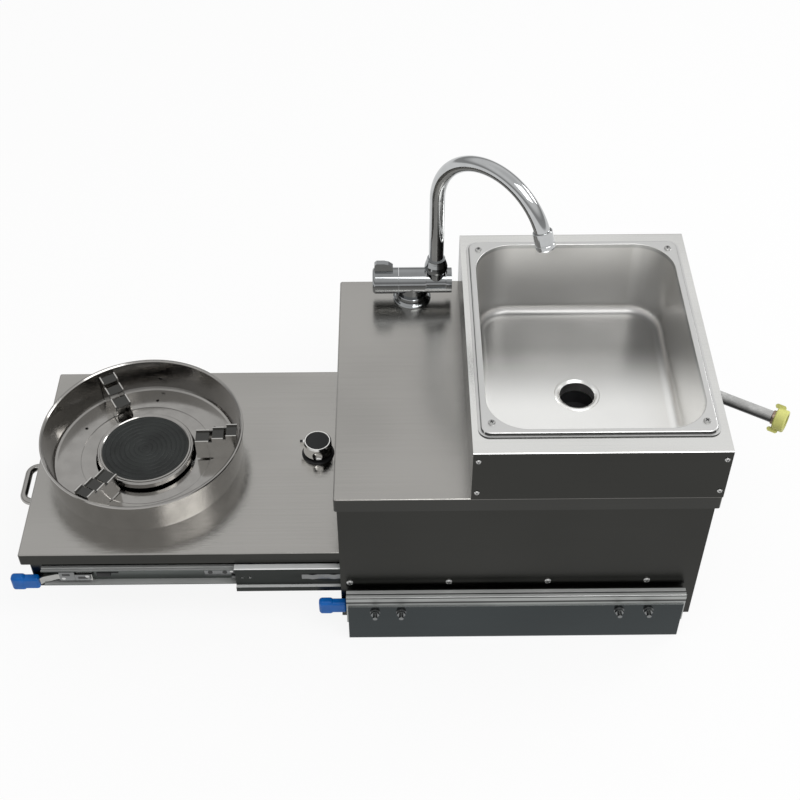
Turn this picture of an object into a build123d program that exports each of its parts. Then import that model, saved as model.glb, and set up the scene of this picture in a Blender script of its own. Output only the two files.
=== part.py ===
from build123d import *
import math
import os

# Pull-out camper kitchen: sink, folding tap and stove drawer on locking slides.
# Millimetres, +Z up. Origin: centre of the base pan's underside.
# +X runs along the slides toward the sink end, -Y faces the user.

# Sheet metal
SHEET = 1.5
BASE_SHEET = 2.0
BOWL_SHEET = 1.2
FOLD_R = 2.4
CORNER_R = 3.0

# Overall plan and heights
BASE_HALF_X = 218.0
COUNTER_HALF_Y = 200.0
COUNTER_Z = 272.0
CABINET_BOTTOM_Z = 23.5

# Cabinet body and counter top
CABINET_PAST_BASE_LEFT = 9.0
CABINET_PAST_BASE_RIGHT = 16.0
COUNTER_OVERHANG_X = 3.0
COUNTER_OVERHANG_Y = 9.5
COUNTER_SKIRT = 21.0
CABINET_FLOOR_LIP = 6.0
END_FLANGE = 14.0
CABINET_X0 = -BASE_HALF_X - CABINET_PAST_BASE_LEFT
CABINET_X1 = BASE_HALF_X + CABINET_PAST_BASE_RIGHT
CABINET_HALF_Y = COUNTER_HALF_Y - COUNTER_OVERHANG_Y
COUNTER_X0 = CABINET_X0 - COUNTER_OVERHANG_X
COUNTER_X1 = CABINET_X1 + COUNTER_OVERHANG_X

# Base pan
BASE_WALL_Z = 70.0
FLOOR_BOLT_INSET_X = 38.0
FLOOR_BOLT_INSET_Y = 50.0
FLOOR_BOLT_R = 4.5
FLOOR_BOLT_X = BASE_HALF_X - FLOOR_BOLT_INSET_X
FLOOR_BOLT_Y = COUNTER_HALF_Y - FLOOR_BOLT_INSET_Y
BASE_BOLT_XS = (-BASE_HALF_X + 35.0, -BASE_HALF_X + 69.0, BASE_HALF_X - 83.0, BASE_HALF_X - 45.0)
BASE_BOLT_R = 3.0
BASE_BOLT_GAP = 0.15
BASE_STUD_OUT = 11.0

# Slide section: depth t runs from the fixed wall to the moving wall, z from the centre line
SLIDE_T = 19.0
SLIDE_HALF_Z = 26.5
MID_WEB_T = 8.4
BASE_INNER_Y = CABINET_HALF_Y + SLIDE_T
BASE_HALF_Y = BASE_INNER_Y + BASE_SHEET

# Cabinet slides
CAB_SLIDE_Z = BASE_WALL_Z - 10.5
CAB_RAIL_HALF_X = BASE_HALF_X + 2.0
CAB_OUTER_X = (-CAB_RAIL_HALF_X, CAB_RAIL_HALF_X)
CAB_MID_X = (-CAB_RAIL_HALF_X + 10.0, CAB_RAIL_HALF_X - 30.0)
CAB_INNER_X = (-BASE_HALF_X, CAB_RAIL_HALF_X)
CAB_SPANS = (CAB_OUTER_X, CAB_MID_X, CAB_INNER_X)

# Stove slides, drawn with the drawer pulled out
STOVE_SLIDE_Z = 96.5
STOVE_OUTER_X = (CABINET_X0 + 2.0, CABINET_X1 - 19.0)
STOVE_MID_OUT = 138.5
STOVE_MID_LENGTH = 400.0
STOVE_MID_X0 = STOVE_OUTER_X[0] - STOVE_MID_OUT
STOVE_MID_X = (STOVE_MID_X0, STOVE_MID_X0 + STOVE_MID_LENGTH)
STOVE_INNER_OVERLAP = 41.0
STOVE_INNER_LENGTH = 430.0
STOVE_INNER_X1 = STOVE_OUTER_X[0] + STOVE_INNER_OVERLAP
STOVE_INNER_X = (STOVE_INNER_X1 - STOVE_INNER_LENGTH, STOVE_INNER_X1)
STOVE_REAR_SET_BACK = 26.0
STOVE_REAR_OUTER_X = (STOVE_OUTER_X[0] + STOVE_REAR_SET_BACK, STOVE_OUTER_X[1])
STOVE_REAR_MID_X = (STOVE_MID_X[0] + STOVE_REAR_SET_BACK, STOVE_MID_X[1])
STOVE_REAR_INNER_X = (STOVE_INNER_X[0] + STOVE_REAR_SET_BACK, STOVE_INNER_X[1])
STOVE_SPANS = (STOVE_OUTER_X, STOVE_MID_X, STOVE_INNER_X)
STOVE_REAR_SPANS = (STOVE_REAR_OUTER_X, STOVE_REAR_MID_X, STOVE_REAR_INNER_X)
STOVE_REAR_SPACE = 29.5
STOVE_FRONT_WALL_Y = -(CABINET_HALF_Y - SHEET)
STOVE_REAR_WALL_Y = CABINET_HALF_Y - STOVE_REAR_SPACE
SLIDE_SCREW_PITCH = 128.0
SLIDE_SCREW_XS = tuple(STOVE_OUTER_X[0] + 10.0 + step * SLIDE_SCREW_PITCH for step in range(4))
REAR_SCREW_XS = tuple(x + STOVE_REAR_SET_BACK for x in SLIDE_SCREW_XS)
SLIDE_SCREW_R = 2.0
SCREW_GAP = 0.1
SPACER_HALF_Z = SLIDE_HALF_Z + 1.5
SPACER_FOOT = 14.0

# Release levers
LEVER_PIVOT = 40.0
LEVER_TAIL = 24.0
LEVER_T0 = 11.5
LEVER_T1 = 13.5
PIVOT_R = 2.5
GRIP_LENGTH = 36.5
GRIP_GAPS = {"cab": 2.0, "stove": 6.0}
GRIP_HALF_Z = 12.5
GRIP_DROPS = {"cab": 4.5, "stove": 10.5}
GRIP_T0 = 6.5
GRIP_T1 = 18.4
GRIP_ROUND = 4.5
GRIP_BULB = 19.0
GRIP_NECK_HALF_Z = GRIP_HALF_Z - 2.4
GRIP_NECK_ROUND = 3.4

# Sink box
BOX_LENGTH = 302.0
BOX_HEIGHT = 81.0
BOX_FLANGE = 14.0
BOX_SCREW_INSET = 6.5
BOX_X0 = COUNTER_X1 - BOX_LENGTH
BOX_Z = COUNTER_Z + BOX_HEIGHT
BOX_SCREW_XS = (BOX_X0 + BOX_SCREW_INSET, COUNTER_X1 - BOX_SCREW_INSET)
BOX_SCREW_ZS = (COUNTER_Z + 12.5, BOX_Z - 13.0)
BOX_SCREW_R = 1.5

# Sink bowl
SINK_OFF_CENTRE_X = -1.0
SINK_X = BOX_X0 + BOX_LENGTH / 2 + SINK_OFF_CENTRE_X
SINK_Y = 3.0
RIM_X = BOX_LENGTH - 17.0
RIM_Y = 2 * COUNTER_HALF_Y - 43.0
RIM_LIP = 3.0
RIM_HEIGHT = 5.0
OPENING_X = RIM_X - 22.0
OPENING_Y = RIM_Y - 20.0
OPENING_R = 50.0
BOWL_DEPTH = 116.0
BOWL_FLOOR_Z = BOX_Z + RIM_HEIGHT - BOWL_DEPTH
BOWL_DRAFT = 2.0
BOWL_FILLET = 14.0
RIM_SCREW_X = RIM_X / 2 - 16.0
RIM_SCREW_Y = RIM_Y / 2 - 20.0
RIM_SCREW_R = 2.0

# Drain
DRAIN_FLANGE_R = 30.0
DRAIN_BORE_R = 23.0
DRAIN_SLEEVE_R = 24.5
DRAIN_CUP_R = 28.0
DRAIN_SEAL_R = 33.0
DRAIN_BOTTOM_Z = BOWL_FLOOR_Z - 42.0
DRAIN_GASKET_Z = BOWL_FLOOR_Z - BOWL_SHEET
DRAIN_CUP_TOP_Z = DRAIN_GASKET_Z - 2.0
SPIGOT_R = 11.0
SPIGOT_LENGTH = 46.0
SPIGOT_Z = DRAIN_BOTTOM_Z + 14.0

# Tap
TAP_TO_BOX = 65.0
TAP_X = BOX_X0 - TAP_TO_BOX
TAP_Y = COUNTER_HALF_Y - 34.0
TAP_AXIS_Z = COUNTER_Z + 30.0
TAP_FLANGE_R = 26.0
TAP_COLUMN_R = 21.4
BARREL_R = 18.0
BARREL_END_R = 17.3
BARREL_HALF = 54.0
BARREL_THIRD = 18.0
SHANK_R = 15.0
STEM_X = TAP_X + 32.5
KNUCKLE_R = 15.2
KNUCKLE_HALF = 13.2
TRUNNION_R = 4.0
SPINDLE_R = 6.0
SPINDLE_LENGTH = 22.0
SLOT_GAP = 0.4
TUBE_R = 10.0
TUBE_WALL = 1.3
SPOUT_BASE_Z = TAP_AXIS_Z + 18.2
SPOUT_RISE_Z = COUNTER_Z + 169.0
SPOUT_R = 86.7
SPOUT_SWEEP = 161.0
SPOUT_AZIMUTH = -41.9
AERATOR_R = 12.4
AERATOR_LENGTH = 24.0
AERATOR_HOLD = 6.0
RUN = 0.05

# Stove drawer
PLATE_Z = STOVE_SLIDE_Z + 46.5
PLATE_SKIRT = 18.5
PLATE_OVERHANG_X = 8.0
PLATE_OVERHANG_Y = 9.0
PLATE_X0 = STOVE_INNER_X[0] - 24.0
PLATE_X1 = STOVE_INNER_X[1] + 4.0
TRAY_X0 = PLATE_X0 + PLATE_OVERHANG_X
TRAY_X1 = PLATE_X1 - PLATE_OVERHANG_X
TRAY_Y0 = STOVE_FRONT_WALL_Y + SLIDE_T
TRAY_Y1 = STOVE_REAR_WALL_Y - SLIDE_T
TRAY_Z0 = STOVE_SLIDE_Z - 30.5
PLATE_Y0 = TRAY_Y0 - PLATE_OVERHANG_Y
PLATE_Y1 = TRAY_Y1 + PLATE_OVERHANG_Y
HANDLE_Y = (-60.0, 2.0)
HANDLE_REACH = 30.0
HANDLE_Z = STOVE_SLIDE_Z + 11.5
HANDLE_ROD_R = 5.0
HANDLE_CORNER = 13.0

# Burner and wind bowl
BURNER_X = PLATE_X0 + 144.5
BURNER_Y = (TRAY_Y0 + TRAY_Y1) / 2 + 6.0
WIND_RIM_R = 134.0
WIND_FOOT_R = WIND_RIM_R - 3.0
WIND_HEIGHT = 50.0
WIND_HOLE_ANGLE = 87.0
WIND_HOLE_H = 20.0
DISH_R = WIND_RIM_R - 11.5
DISH_TOP_H = 4.2
DISH_LOW_H = 2.4
DISH_FLOOR_H = BOWL_SHEET + RUN
LIP_R = DISH_R - 34.5
CUP_R = 62.0
RING_R = CUP_R + 3.0
BURNER_HOLE_R = RING_R + 3.0
DISC_R = CUP_R - 4.0
BURNER_TOP = 15.0
CUP_BASE = TRAY_Z0 + BOWL_SHEET - PLATE_Z
CUP_DEPTH = 40.0
CUP_SHOULDER = 18.0
CUP_SHEET = 1.6
CUP_FOOT_R = 30.0
CUP_FOOT_LENGTH = 12.0
CUP_FOOT_HALF = 9.0
CUP_FOOT_SHEET = 2.0
SUPPORT_ANGLES = (1.0, 120.0, 239.0)
SUPPORT_HALF = 11.0
SUPPORT_STEPS = (36.0, 41.0, 46.0)
SUPPORT_TREAD_DEPTH = 2.5
SUPPORT_LOW_END = 18.0
SUPPORT_MIDDLE_START = 23.0
SUPPORT_MIDDLE_END = 38.0
SUPPORT_HIGH_START = 42.0
SUPPORT_NOTCH = 2.0
SUPPORT_R0 = LIP_R - 18.0
SUPPORT_R1 = DISH_R + 3.5
VALVE_Z = PLATE_Z - 26.0
MIXER_R = 11.0
MIXER_START = CUP_R - 17.0

# Control knob
KNOB_X = PLATE_X1 - 80.0
KNOB_Y = BURNER_Y + 1.0
KNOB_R = 19.5
KNOB_TOP_Z = PLATE_Z + 25.0
KNOB_PRESS = 3.0
KNOB_SCOOP_R = 13.0
BEZEL_HEIGHT = 2.4
KNOB_BOTTOM_Z = PLATE_Z + BEZEL_HEIGHT + KNOB_PRESS + 0.5
STEM_R = 4.0
STEM_FLAT = 3.0
STEM_TOP_Z = KNOB_TOP_Z - 8.0

# Hose
HOSE_R = 8.0
HOSE_WALL = 2.5
HOSE_Y = 26.7
HOSE_Z = COUNTER_Z - 44.0
HOSE_BEND_X = CABINET_X1 + 4.0
HOSE_BEND_R = 45.0
HOSE_TURN = 31.2
HOSE_TAIL = 95.0
NUT_R = 15.0
NUT_LENGTH = 15.0
GROMMET_NECK_R = HOSE_R + 2.5


def block(x0, x1, y0, y1, z0, z1):
    """Box given by its two corners."""
    centre = Pos((x0 + x1) / 2, (y0 + y1) / 2, (z0 + z1) / 2)
    return centre * Box(abs(x1 - x0), abs(y1 - y0), abs(z1 - z0))


def post(x, y, z0, z1, radius):
    """Upright cylinder."""
    return Pos(x, y, (z0 + z1) / 2) * Cylinder(radius, abs(z1 - z0))


def rod_x(x0, x1, y, z, radius):
    """Cylinder along X."""
    return Pos((x0 + x1) / 2, y, z) * Rot(0, 90, 0) * Cylinder(radius, abs(x1 - x0))


def rod_y(x, y0, y1, z, radius):
    """Cylinder along Y."""
    return Pos(x, (y0 + y1) / 2, z) * Rot(90, 0, 0) * Cylinder(radius, abs(y1 - y0))


def turned(points):
    """Solid of revolution about Z from (radius, height) points."""
    outline = Polyline(*[(r, 0, h) for r, h in points], close=True)
    return revolve(make_face(outline), axis=Axis.Z)


def left_normal(a, b):
    """Unit normal on the left of the line from a to b."""
    dx = b[0] - a[0]
    dy = b[1] - a[1]
    length = math.hypot(dx, dy)
    return -dy / length, dx / length


def strip(points, thickness):
    """Outline of a bent sheet: a line of points thickened to its left."""
    normals = [left_normal(a, b) for a, b in zip(points, points[1:])]
    far = []
    for i, (px, py) in enumerate(points):
        before = normals[max(i - 1, 0)]
        after = normals[min(i, len(normals) - 1)]
        scale = thickness / (1 + before[0] * after[0] + before[1] * after[1])
        far.append((px + (before[0] + after[0]) * scale, py + (before[1] + after[1]) * scale))
    return list(points) + far[::-1]


def folded(points, radius):
    """Sheet line with every inner corner eased into a fold."""
    line = [points[0]]
    for a, b, c in zip(points, points[1:], points[2:]):
        start = (Vector(*a) - Vector(*b)).normalized() * radius + Vector(*b)
        end = (Vector(*c) - Vector(*b)).normalized() * radius + Vector(*b)
        for share in (0.0, 0.25, 0.5, 0.75, 1.0):
            near = start * (1 - share) + Vector(*b) * share
            far = Vector(*b) * (1 - share) + end * share
            spot = near * (1 - share) + far * share
            line.append((spot.X, spot.Y))
    return line + [points[-1]]


def extruded_x(points, x0, x1):
    """Outline in (y, z) drawn out along X."""
    outline = Polyline(*[(x0, y, z) for y, z in points], close=True)
    return extrude(make_face(outline), amount=x1 - x0, dir=(1, 0, 0))


def tray(x0, x1, y0, y1, z0, z1, wall, radius):
    """Open box of bent sheet: floor at z0, walls up to z1."""
    centre = Pos((x0 + x1) / 2, (y0 + y1) / 2, z0)
    outer = extrude(centre * RectangleRounded(x1 - x0, y1 - y0, radius), z1 - z0)
    outer = fillet(outer.faces().sort_by(Axis.Z)[0].edges(), FOLD_R)
    inner = extrude(RectangleRounded(x1 - x0 - 2 * wall, y1 - y0 - 2 * wall, radius - wall), z1 - z0)
    inner = fillet(inner.faces().sort_by(Axis.Z)[0].edges(), FOLD_R - wall)
    return outer - centre * Pos(0, 0, wall) * inner


def cap(x0, x1, y0, y1, z_top, skirt, wall, radius):
    """Top plate with a folded skirt."""
    upside = tray(x0, x1, y0, y1, 0, skirt, wall, radius)
    return Pos(0, 0, z_top) * mirror(upside, about=Plane.XY)


# Slides


def slide_y(wall_y, side, t):
    """Y of a slide depth; side is +1 at the front and -1 at the rear."""
    return wall_y + side * t


def both_halves(outline):
    """Mirror an upper outline (t, z) about the centre line."""
    return outline + [(t, -z) for t, z in reversed(outline)]


def slide_rail(outline, wall_y, side, z, span):
    """Rail drawn out along X from an outline in (t, z)."""
    points = [(slide_y(wall_y, side, t), z + dz) for t, dz in outline]
    return extruded_x(points, *span)


def outer_rail(wall_y, side, z, span, hole_xs, hole_r):
    """Fixed channel: web, flanges with a rolled raceway, and lips."""
    half = SLIDE_HALF_Z
    upper = [
        (0.0, half - 2.0), (0.6, half - 0.6), (2.0, half), (5.6, half), (6.4, half - 0.9), (7.6, half - 0.9),
        (8.4, half), (12.6, half), (13.6, half - 0.6), (14.0, half - 1.6), (14.0, half - 5.0), (12.0, half - 5.0),
        (12.0, half - 2.5), (2.0, half - 2.5),
    ]
    rail = slide_rail(both_halves(upper), wall_y, side, z, span)
    for x in hole_xs:
        rail -= rod_y(x, slide_y(wall_y, side, -1), slide_y(wall_y, side, 3), z, hole_r)
    return rail


def mid_rail(wall_y, side, z, span):
    """Middle rail: two raceway channels joined by a set-back web."""
    half = SLIDE_HALF_Z
    web = MID_WEB_T
    upper = [
        (web - 1.6, half - 11.9), (2.4, half - 11.9), (2.4, half - 3.6), (3.6, half - 2.8), (10.6, half - 2.8),
        (11.6, half - 3.6), (11.6, half - 5.9), (10.0, half - 5.9), (10.0, half - 4.5), (4.2, half - 4.5),
        (4.2, half - 10.3), (web, half - 10.3),
    ]
    rail = slide_rail(both_halves(upper), wall_y, side, z, span)
    x0 = span[0]
    back = slide_y(wall_y, side, web - 2.4)
    front = slide_y(wall_y, side, web + 1.0)
    for dx in (9.0, 19.0):
        rail -= rod_y(x0 + dx, back, front, z + 1.0, 1.6)
    for dx in (92.0, 124.0):
        rail -= block(x0 + dx, x0 + dx + 15, back, front, z - 1, z + 5)
    return rail


def inner_rail(wall_y, side, z, span):
    """Moving rail: channel with a grooved raceway on each flange, a lever boss and its rivet head."""
    half = SLIDE_HALF_Z - 11.3
    edge = MID_WEB_T + 0.4
    upper = [
        (SLIDE_T, half - 1.2), (SLIDE_T - 1.2, half), (14.2, half), (13.4, half - 0.8), (12.0, half - 0.8),
        (11.2, half), (edge, half), (edge, half - 1.8), (SLIDE_T - 1.8, half - 1.8),
    ]
    rail = slide_rail(both_halves(upper), wall_y, side, z, span)
    x = span[0] + LEVER_PIVOT
    rail += rod_y(x, slide_y(wall_y, side, SLIDE_T - 1.5), slide_y(wall_y, side, LEVER_T1 + RUN), z, PIVOT_R + 2.0)
    rail += rod_y(x, slide_y(wall_y, side, SLIDE_T - 1.5), slide_y(wall_y, side, LEVER_T0 - RUN), z, PIVOT_R)
    rail += rod_y(x, slide_y(wall_y, side, LEVER_T0 - RUN), slide_y(wall_y, side, LEVER_T0 - 0.7), z, PIVOT_R + 1.3)
    return rail


def release_lever(wall_y, side, z, span, kind):
    """Flat steel lever that turns on the inner rail's boss, cranked down to its grip."""
    x0 = span[0]
    drop = GRIP_DROPS[kind]
    reach = x0 - GRIP_GAPS[kind] - GRIP_LENGTH + 6.0
    pivot = x0 + LEVER_PIVOT
    tail = pivot + LEVER_TAIL
    outline = [
        (reach, -6.0 - drop), (x0 - 6, -6.0 - drop), (x0, -6.0 - 0.6 * drop), (x0 + 18, -5.0), (pivot, -6.0),
        (tail - 8, -5.0), (tail - 6, -8.5), (tail, -8.5), (tail, 4.0), (pivot, 6.0), (x0 + 18, 5.0),
        (x0, 6.0 - 0.6 * drop), (x0 - 6, 6.0 - drop), (reach, 6.0 - drop),
    ]
    y0 = slide_y(wall_y, side, LEVER_T0)
    face = make_face(Polyline(*[(x, y0, z + dz) for x, dz in outline], close=True))
    lever = extrude(face, amount=LEVER_T1 - LEVER_T0, dir=(0, side, 0))
    lever -= rod_y(pivot, y0 - side, y0 + side * 4, z, PIVOT_R + RUN)
    return lever


def release_grip(wall_y, side, z, span, kind, lever):
    """Rounded grip over the lever's free end: a bulb with a narrower neck."""
    x1 = span[0] - GRIP_GAPS[kind]
    x0 = x1 - GRIP_LENGTH
    y0 = slide_y(wall_y, side, GRIP_T0)
    y1 = slide_y(wall_y, side, GRIP_T1)
    bulb = block(x0, x0 + GRIP_BULB, y0, y1, -GRIP_HALF_Z, GRIP_HALF_Z)
    neck = block(x0 + 6, x1, y0 + side * 0.5, y1 - side * 0.5, -GRIP_NECK_HALF_Z, GRIP_NECK_HALF_Z)
    grip = fillet(bulb.edges(), GRIP_ROUND) + fillet(neck.edges(), GRIP_NECK_ROUND)
    return Pos(0, 0, z - GRIP_DROPS[kind]) * grip - lever


def slide(kind, name, place, spans, hole_xs, hole_r):
    """One locking slide: its three rails, the release lever and the grip."""
    outer, mid, inner = spans
    lever = release_lever(*place, inner, kind)
    return {
        kind + "_outer_" + name: outer_rail(*place, outer, hole_xs, hole_r),
        kind + "_mid_" + name: mid_rail(*place, mid),
        kind + "_inner_" + name: inner_rail(*place, inner),
        kind + "_lever_" + name: lever,
        kind + "_grip_" + name: release_grip(*place, inner, kind, lever),
    }


# Base


def base_pan():
    """Channel with a bolted floor and two low walls."""
    half = BASE_HALF_Y
    line = folded([(-half, BASE_WALL_Z), (-half, 0), (half, 0), (half, BASE_WALL_Z)], FOLD_R + 0.6)
    outline = strip(line, BASE_SHEET)
    pan = extruded_x(outline, -BASE_HALF_X, BASE_HALF_X)
    for x in (-FLOOR_BOLT_X, FLOOR_BOLT_X):
        for y in (-FLOOR_BOLT_Y, FLOOR_BOLT_Y):
            pan -= post(x, y, -1, 5, FLOOR_BOLT_R)
    for x in BASE_BOLT_XS:
        pan -= rod_y(x, -BASE_HALF_Y - 1, BASE_HALF_Y + 1, CAB_SLIDE_Z, BASE_BOLT_R + BASE_BOLT_GAP)
    return pan


def base_bolts():
    """Bolts through the base walls and outer rails, each with its hex nut outside."""
    solids = []
    for side in (1, -1):
        wall = -side * BASE_INNER_Y
        out = -side * BASE_HALF_Y
        for x in BASE_BOLT_XS:
            bolt = rod_y(x, slide_y(wall, side, 2), out - side * BASE_STUD_OUT, CAB_SLIDE_Z, BASE_BOLT_R)
            bolt += rod_y(x, slide_y(wall, side, 2), slide_y(wall, side, 4.6), CAB_SLIDE_Z, 5.5)
            nut = extrude(RegularPolygon(5.8, 6, major_radius=True), 5.0)
            nut_y = out if side < 0 else out - 5.0
            bolt += Pos(x, nut_y + 5.0, CAB_SLIDE_Z) * Rot(90, 0, 0) * nut
            bolt += rod_y(x, out, out - side * 1.0, CAB_SLIDE_Z, 6.5)
            solids.append(bolt)
    return Compound(children=solids)


# Cabinet


def side_panel(side):
    """Front (+1) or rear (-1) panel with the slide screw holes."""
    out = -side * CABINET_HALF_Y
    inside = out + side * SHEET
    panel = block(CABINET_X0, CABINET_X1, out, inside, CABINET_BOTTOM_Z, COUNTER_Z - SHEET)
    for x, z in panel_screw_points(side):
        panel -= rod_y(x, out - side, inside + side, z, SLIDE_SCREW_R + SCREW_GAP)
    return panel


def panel_screw_points(side):
    """Screw places in a side panel: slide line at the front, spacer's upper foot at the rear."""
    if side > 0:
        return [(x, STOVE_SLIDE_Z) for x in SLIDE_SCREW_XS]
    return [(x, STOVE_SLIDE_Z + SPACER_HALF_Z + SPACER_FOOT / 2) for x in REAR_SCREW_XS]


def rear_spacer():
    """Hat channel that carries the rear stove slide clear of the rear panel."""
    back = CABINET_HALF_Y - SHEET
    front = STOVE_REAR_WALL_Y
    low = STOVE_SLIDE_Z - SPACER_HALF_Z
    high = STOVE_SLIDE_Z + SPACER_HALF_Z
    outline = strip(
        [
            (back, low - SPACER_FOOT), (back, low), (front + SHEET, low), (front + SHEET, high), (back, high),
            (back, high + SPACER_FOOT),
        ],
        SHEET,
    )
    hat = extruded_x(outline, *STOVE_REAR_OUTER_X)
    for x in REAR_SCREW_XS:
        hat -= rod_y(x, front - 2, front + 4, STOVE_SLIDE_Z, SLIDE_SCREW_R + SCREW_GAP)
    for x, z in panel_screw_points(-1):
        hat -= rod_y(x, back - 4, back + 1, z, SLIDE_SCREW_R + SCREW_GAP)
    return hat


def slide_screw(x, head_y, side, grip, z):
    """Pan head screw and its nut, clamping a given thickness; side is the inward Y direction."""
    screw = rod_y(x, head_y, head_y + side * (grip + 2.2), z, SLIDE_SCREW_R)
    head = turned([(0, 0), (4.4, 0), (4.4, 1.0), (3.4, 2.2), (0, 2.6)])
    screw += Pos(x, head_y, z) * Rot(90 * side, 0, 0) * head
    screw += rod_y(x, head_y + side * grip, head_y + side * (grip + 2.0), z, 4.0)
    return screw


def slide_screws():
    """All screws that hold the stove's outer rails and the rear spacer."""
    grip = SHEET + 2.0
    solids = []
    for x in SLIDE_SCREW_XS:
        solids.append(slide_screw(x, -CABINET_HALF_Y, 1, grip, STOVE_SLIDE_Z))
    for x in REAR_SCREW_XS:
        solids.append(slide_screw(x, STOVE_REAR_WALL_Y + SHEET, -1, grip, STOVE_SLIDE_Z))
    for x, z in panel_screw_points(-1):
        solids.append(slide_screw(x, CABINET_HALF_Y, -1, 2 * SHEET, z))
    return Compound(children=solids)


def end_panel():
    """Right end panel with flanges folded behind the side panels and a hose hole."""
    half = CABINET_HALF_Y - SHEET
    x1 = CABINET_X1
    x0 = CABINET_X1 - END_FLANGE
    top = COUNTER_Z - SHEET
    outline = strip(folded([(x0, -half), (x1, -half), (x1, half), (x0, half)], FOLD_R), SHEET)
    face = make_face(Polyline(*[(x, y, CABINET_BOTTOM_Z) for x, y in outline], close=True))
    panel = extrude(face, amount=top - CABINET_BOTTOM_Z, dir=(0, 0, 1))
    return panel - rod_x(x1 - 5, x1 + 5, HOSE_Y, HOSE_Z, GROMMET_NECK_R)


def cabinet_floor():
    """Floor sheet with upturned edges against the side panels."""
    half = CABINET_HALF_Y - SHEET
    z0 = CABINET_BOTTOM_Z
    outline = strip(
        [(-half, z0 + CABINET_FLOOR_LIP), (-half, z0), (half, z0), (half, z0 + CABINET_FLOOR_LIP)], SHEET
    )
    floor = extruded_x(outline, CABINET_X0, CABINET_X1 - END_FLANGE - 0.2)
    return floor


def counter_top():
    """Counter sheet with a folded skirt, the sink cut-out and the tap hole."""
    top = cap(COUNTER_X0, COUNTER_X1, -COUNTER_HALF_Y, COUNTER_HALF_Y, COUNTER_Z, COUNTER_SKIRT, SHEET, CORNER_R)
    reach = COUNTER_HALF_Y - 17.0
    top -= block(BOX_X0 + 13, COUNTER_X1 - 15, -reach, reach, COUNTER_Z - 5, COUNTER_Z + 5)
    top -= post(TAP_X, TAP_Y, COUNTER_Z - 5, COUNTER_Z + 5, SHANK_R + 0.3)
    return top


def sink_hood():
    """Folded top, front and rear of the sink box."""
    half = COUNTER_HALF_Y
    line = folded([(half, COUNTER_Z), (half, BOX_Z), (-half, BOX_Z), (-half, COUNTER_Z)], FOLD_R)
    outline = strip(line, SHEET)
    hood = extruded_x(outline, BOX_X0, COUNTER_X1)
    opening = RectangleRounded(OPENING_X + 5, OPENING_Y + 5, OPENING_R + 2.5)
    hood -= Pos(SINK_X, SINK_Y, BOX_Z - 5) * extrude(opening, 10)
    for x in (-RIM_SCREW_X, RIM_SCREW_X):
        for y in (-RIM_SCREW_Y, RIM_SCREW_Y):
            hood -= post(SINK_X + x, SINK_Y + y, BOX_Z - 5, BOX_Z + 5, RIM_SCREW_R + SCREW_GAP)
    for x in BOX_SCREW_XS:
        for z in BOX_SCREW_ZS:
            hood -= rod_y(x, -half - 1, half + 1, z, BOX_SCREW_R + SCREW_GAP)
    return hood


def sink_box_ends():
    """Left and right ends of the sink box, folded behind the hood's walls."""
    half = COUNTER_HALF_Y - SHEET
    hood = sink_hood()
    solids = []
    for x, inward in ((BOX_X0, 1), (COUNTER_X1, -1)):
        end = block(x, x + inward * SHEET, -half, half, COUNTER_Z, BOX_Z - SHEET)
        for y in (-1, 1):
            end += block(x, x + inward * BOX_FLANGE, y * half, y * (half - SHEET), COUNTER_Z, BOX_Z - SHEET)
        end += block(x, x + inward * 12.5, -half, half, COUNTER_Z, COUNTER_Z + SHEET)
        for z in BOX_SCREW_ZS:
            end -= rod_y(x + inward * BOX_SCREW_INSET, -half - 1, half + 1, z, BOX_SCREW_R + SCREW_GAP)
        solids.append(end - hood)
    return Compound(children=solids)


def sink_box_screws():
    """Small pan head screws at the corners of the hood's front and rear walls."""
    solids = []
    for side in (1, -1):
        face_y = -side * COUNTER_HALF_Y
        for x in BOX_SCREW_XS:
            for z in BOX_SCREW_ZS:
                screw = rod_y(x, face_y, face_y + side * 5, z, BOX_SCREW_R)
                head = turned([(0, 0), (3.2, 0), (3.2, 0.7), (2.4, 1.7), (0, 2.0)])
                solids.append(screw + Pos(x, face_y, z) * Rot(90 * side, 0, 0) * head)
    return Compound(children=solids)


def bowl_solid(grow, floor_z, top_z):
    """Drawn bowl form, grown outward by the sheet thickness for the outer skin."""
    outline = RectangleRounded(OPENING_X + 2 * grow, OPENING_Y + 2 * grow, OPENING_R + grow)
    form = extrude(Pos(SINK_X, SINK_Y, top_z) * outline, amount=-(top_z - floor_z), taper=BOWL_DRAFT)
    bottom = form.faces().sort_by(Axis.Z)[0]
    return fillet(bottom.edges(), BOWL_FILLET + grow)


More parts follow.
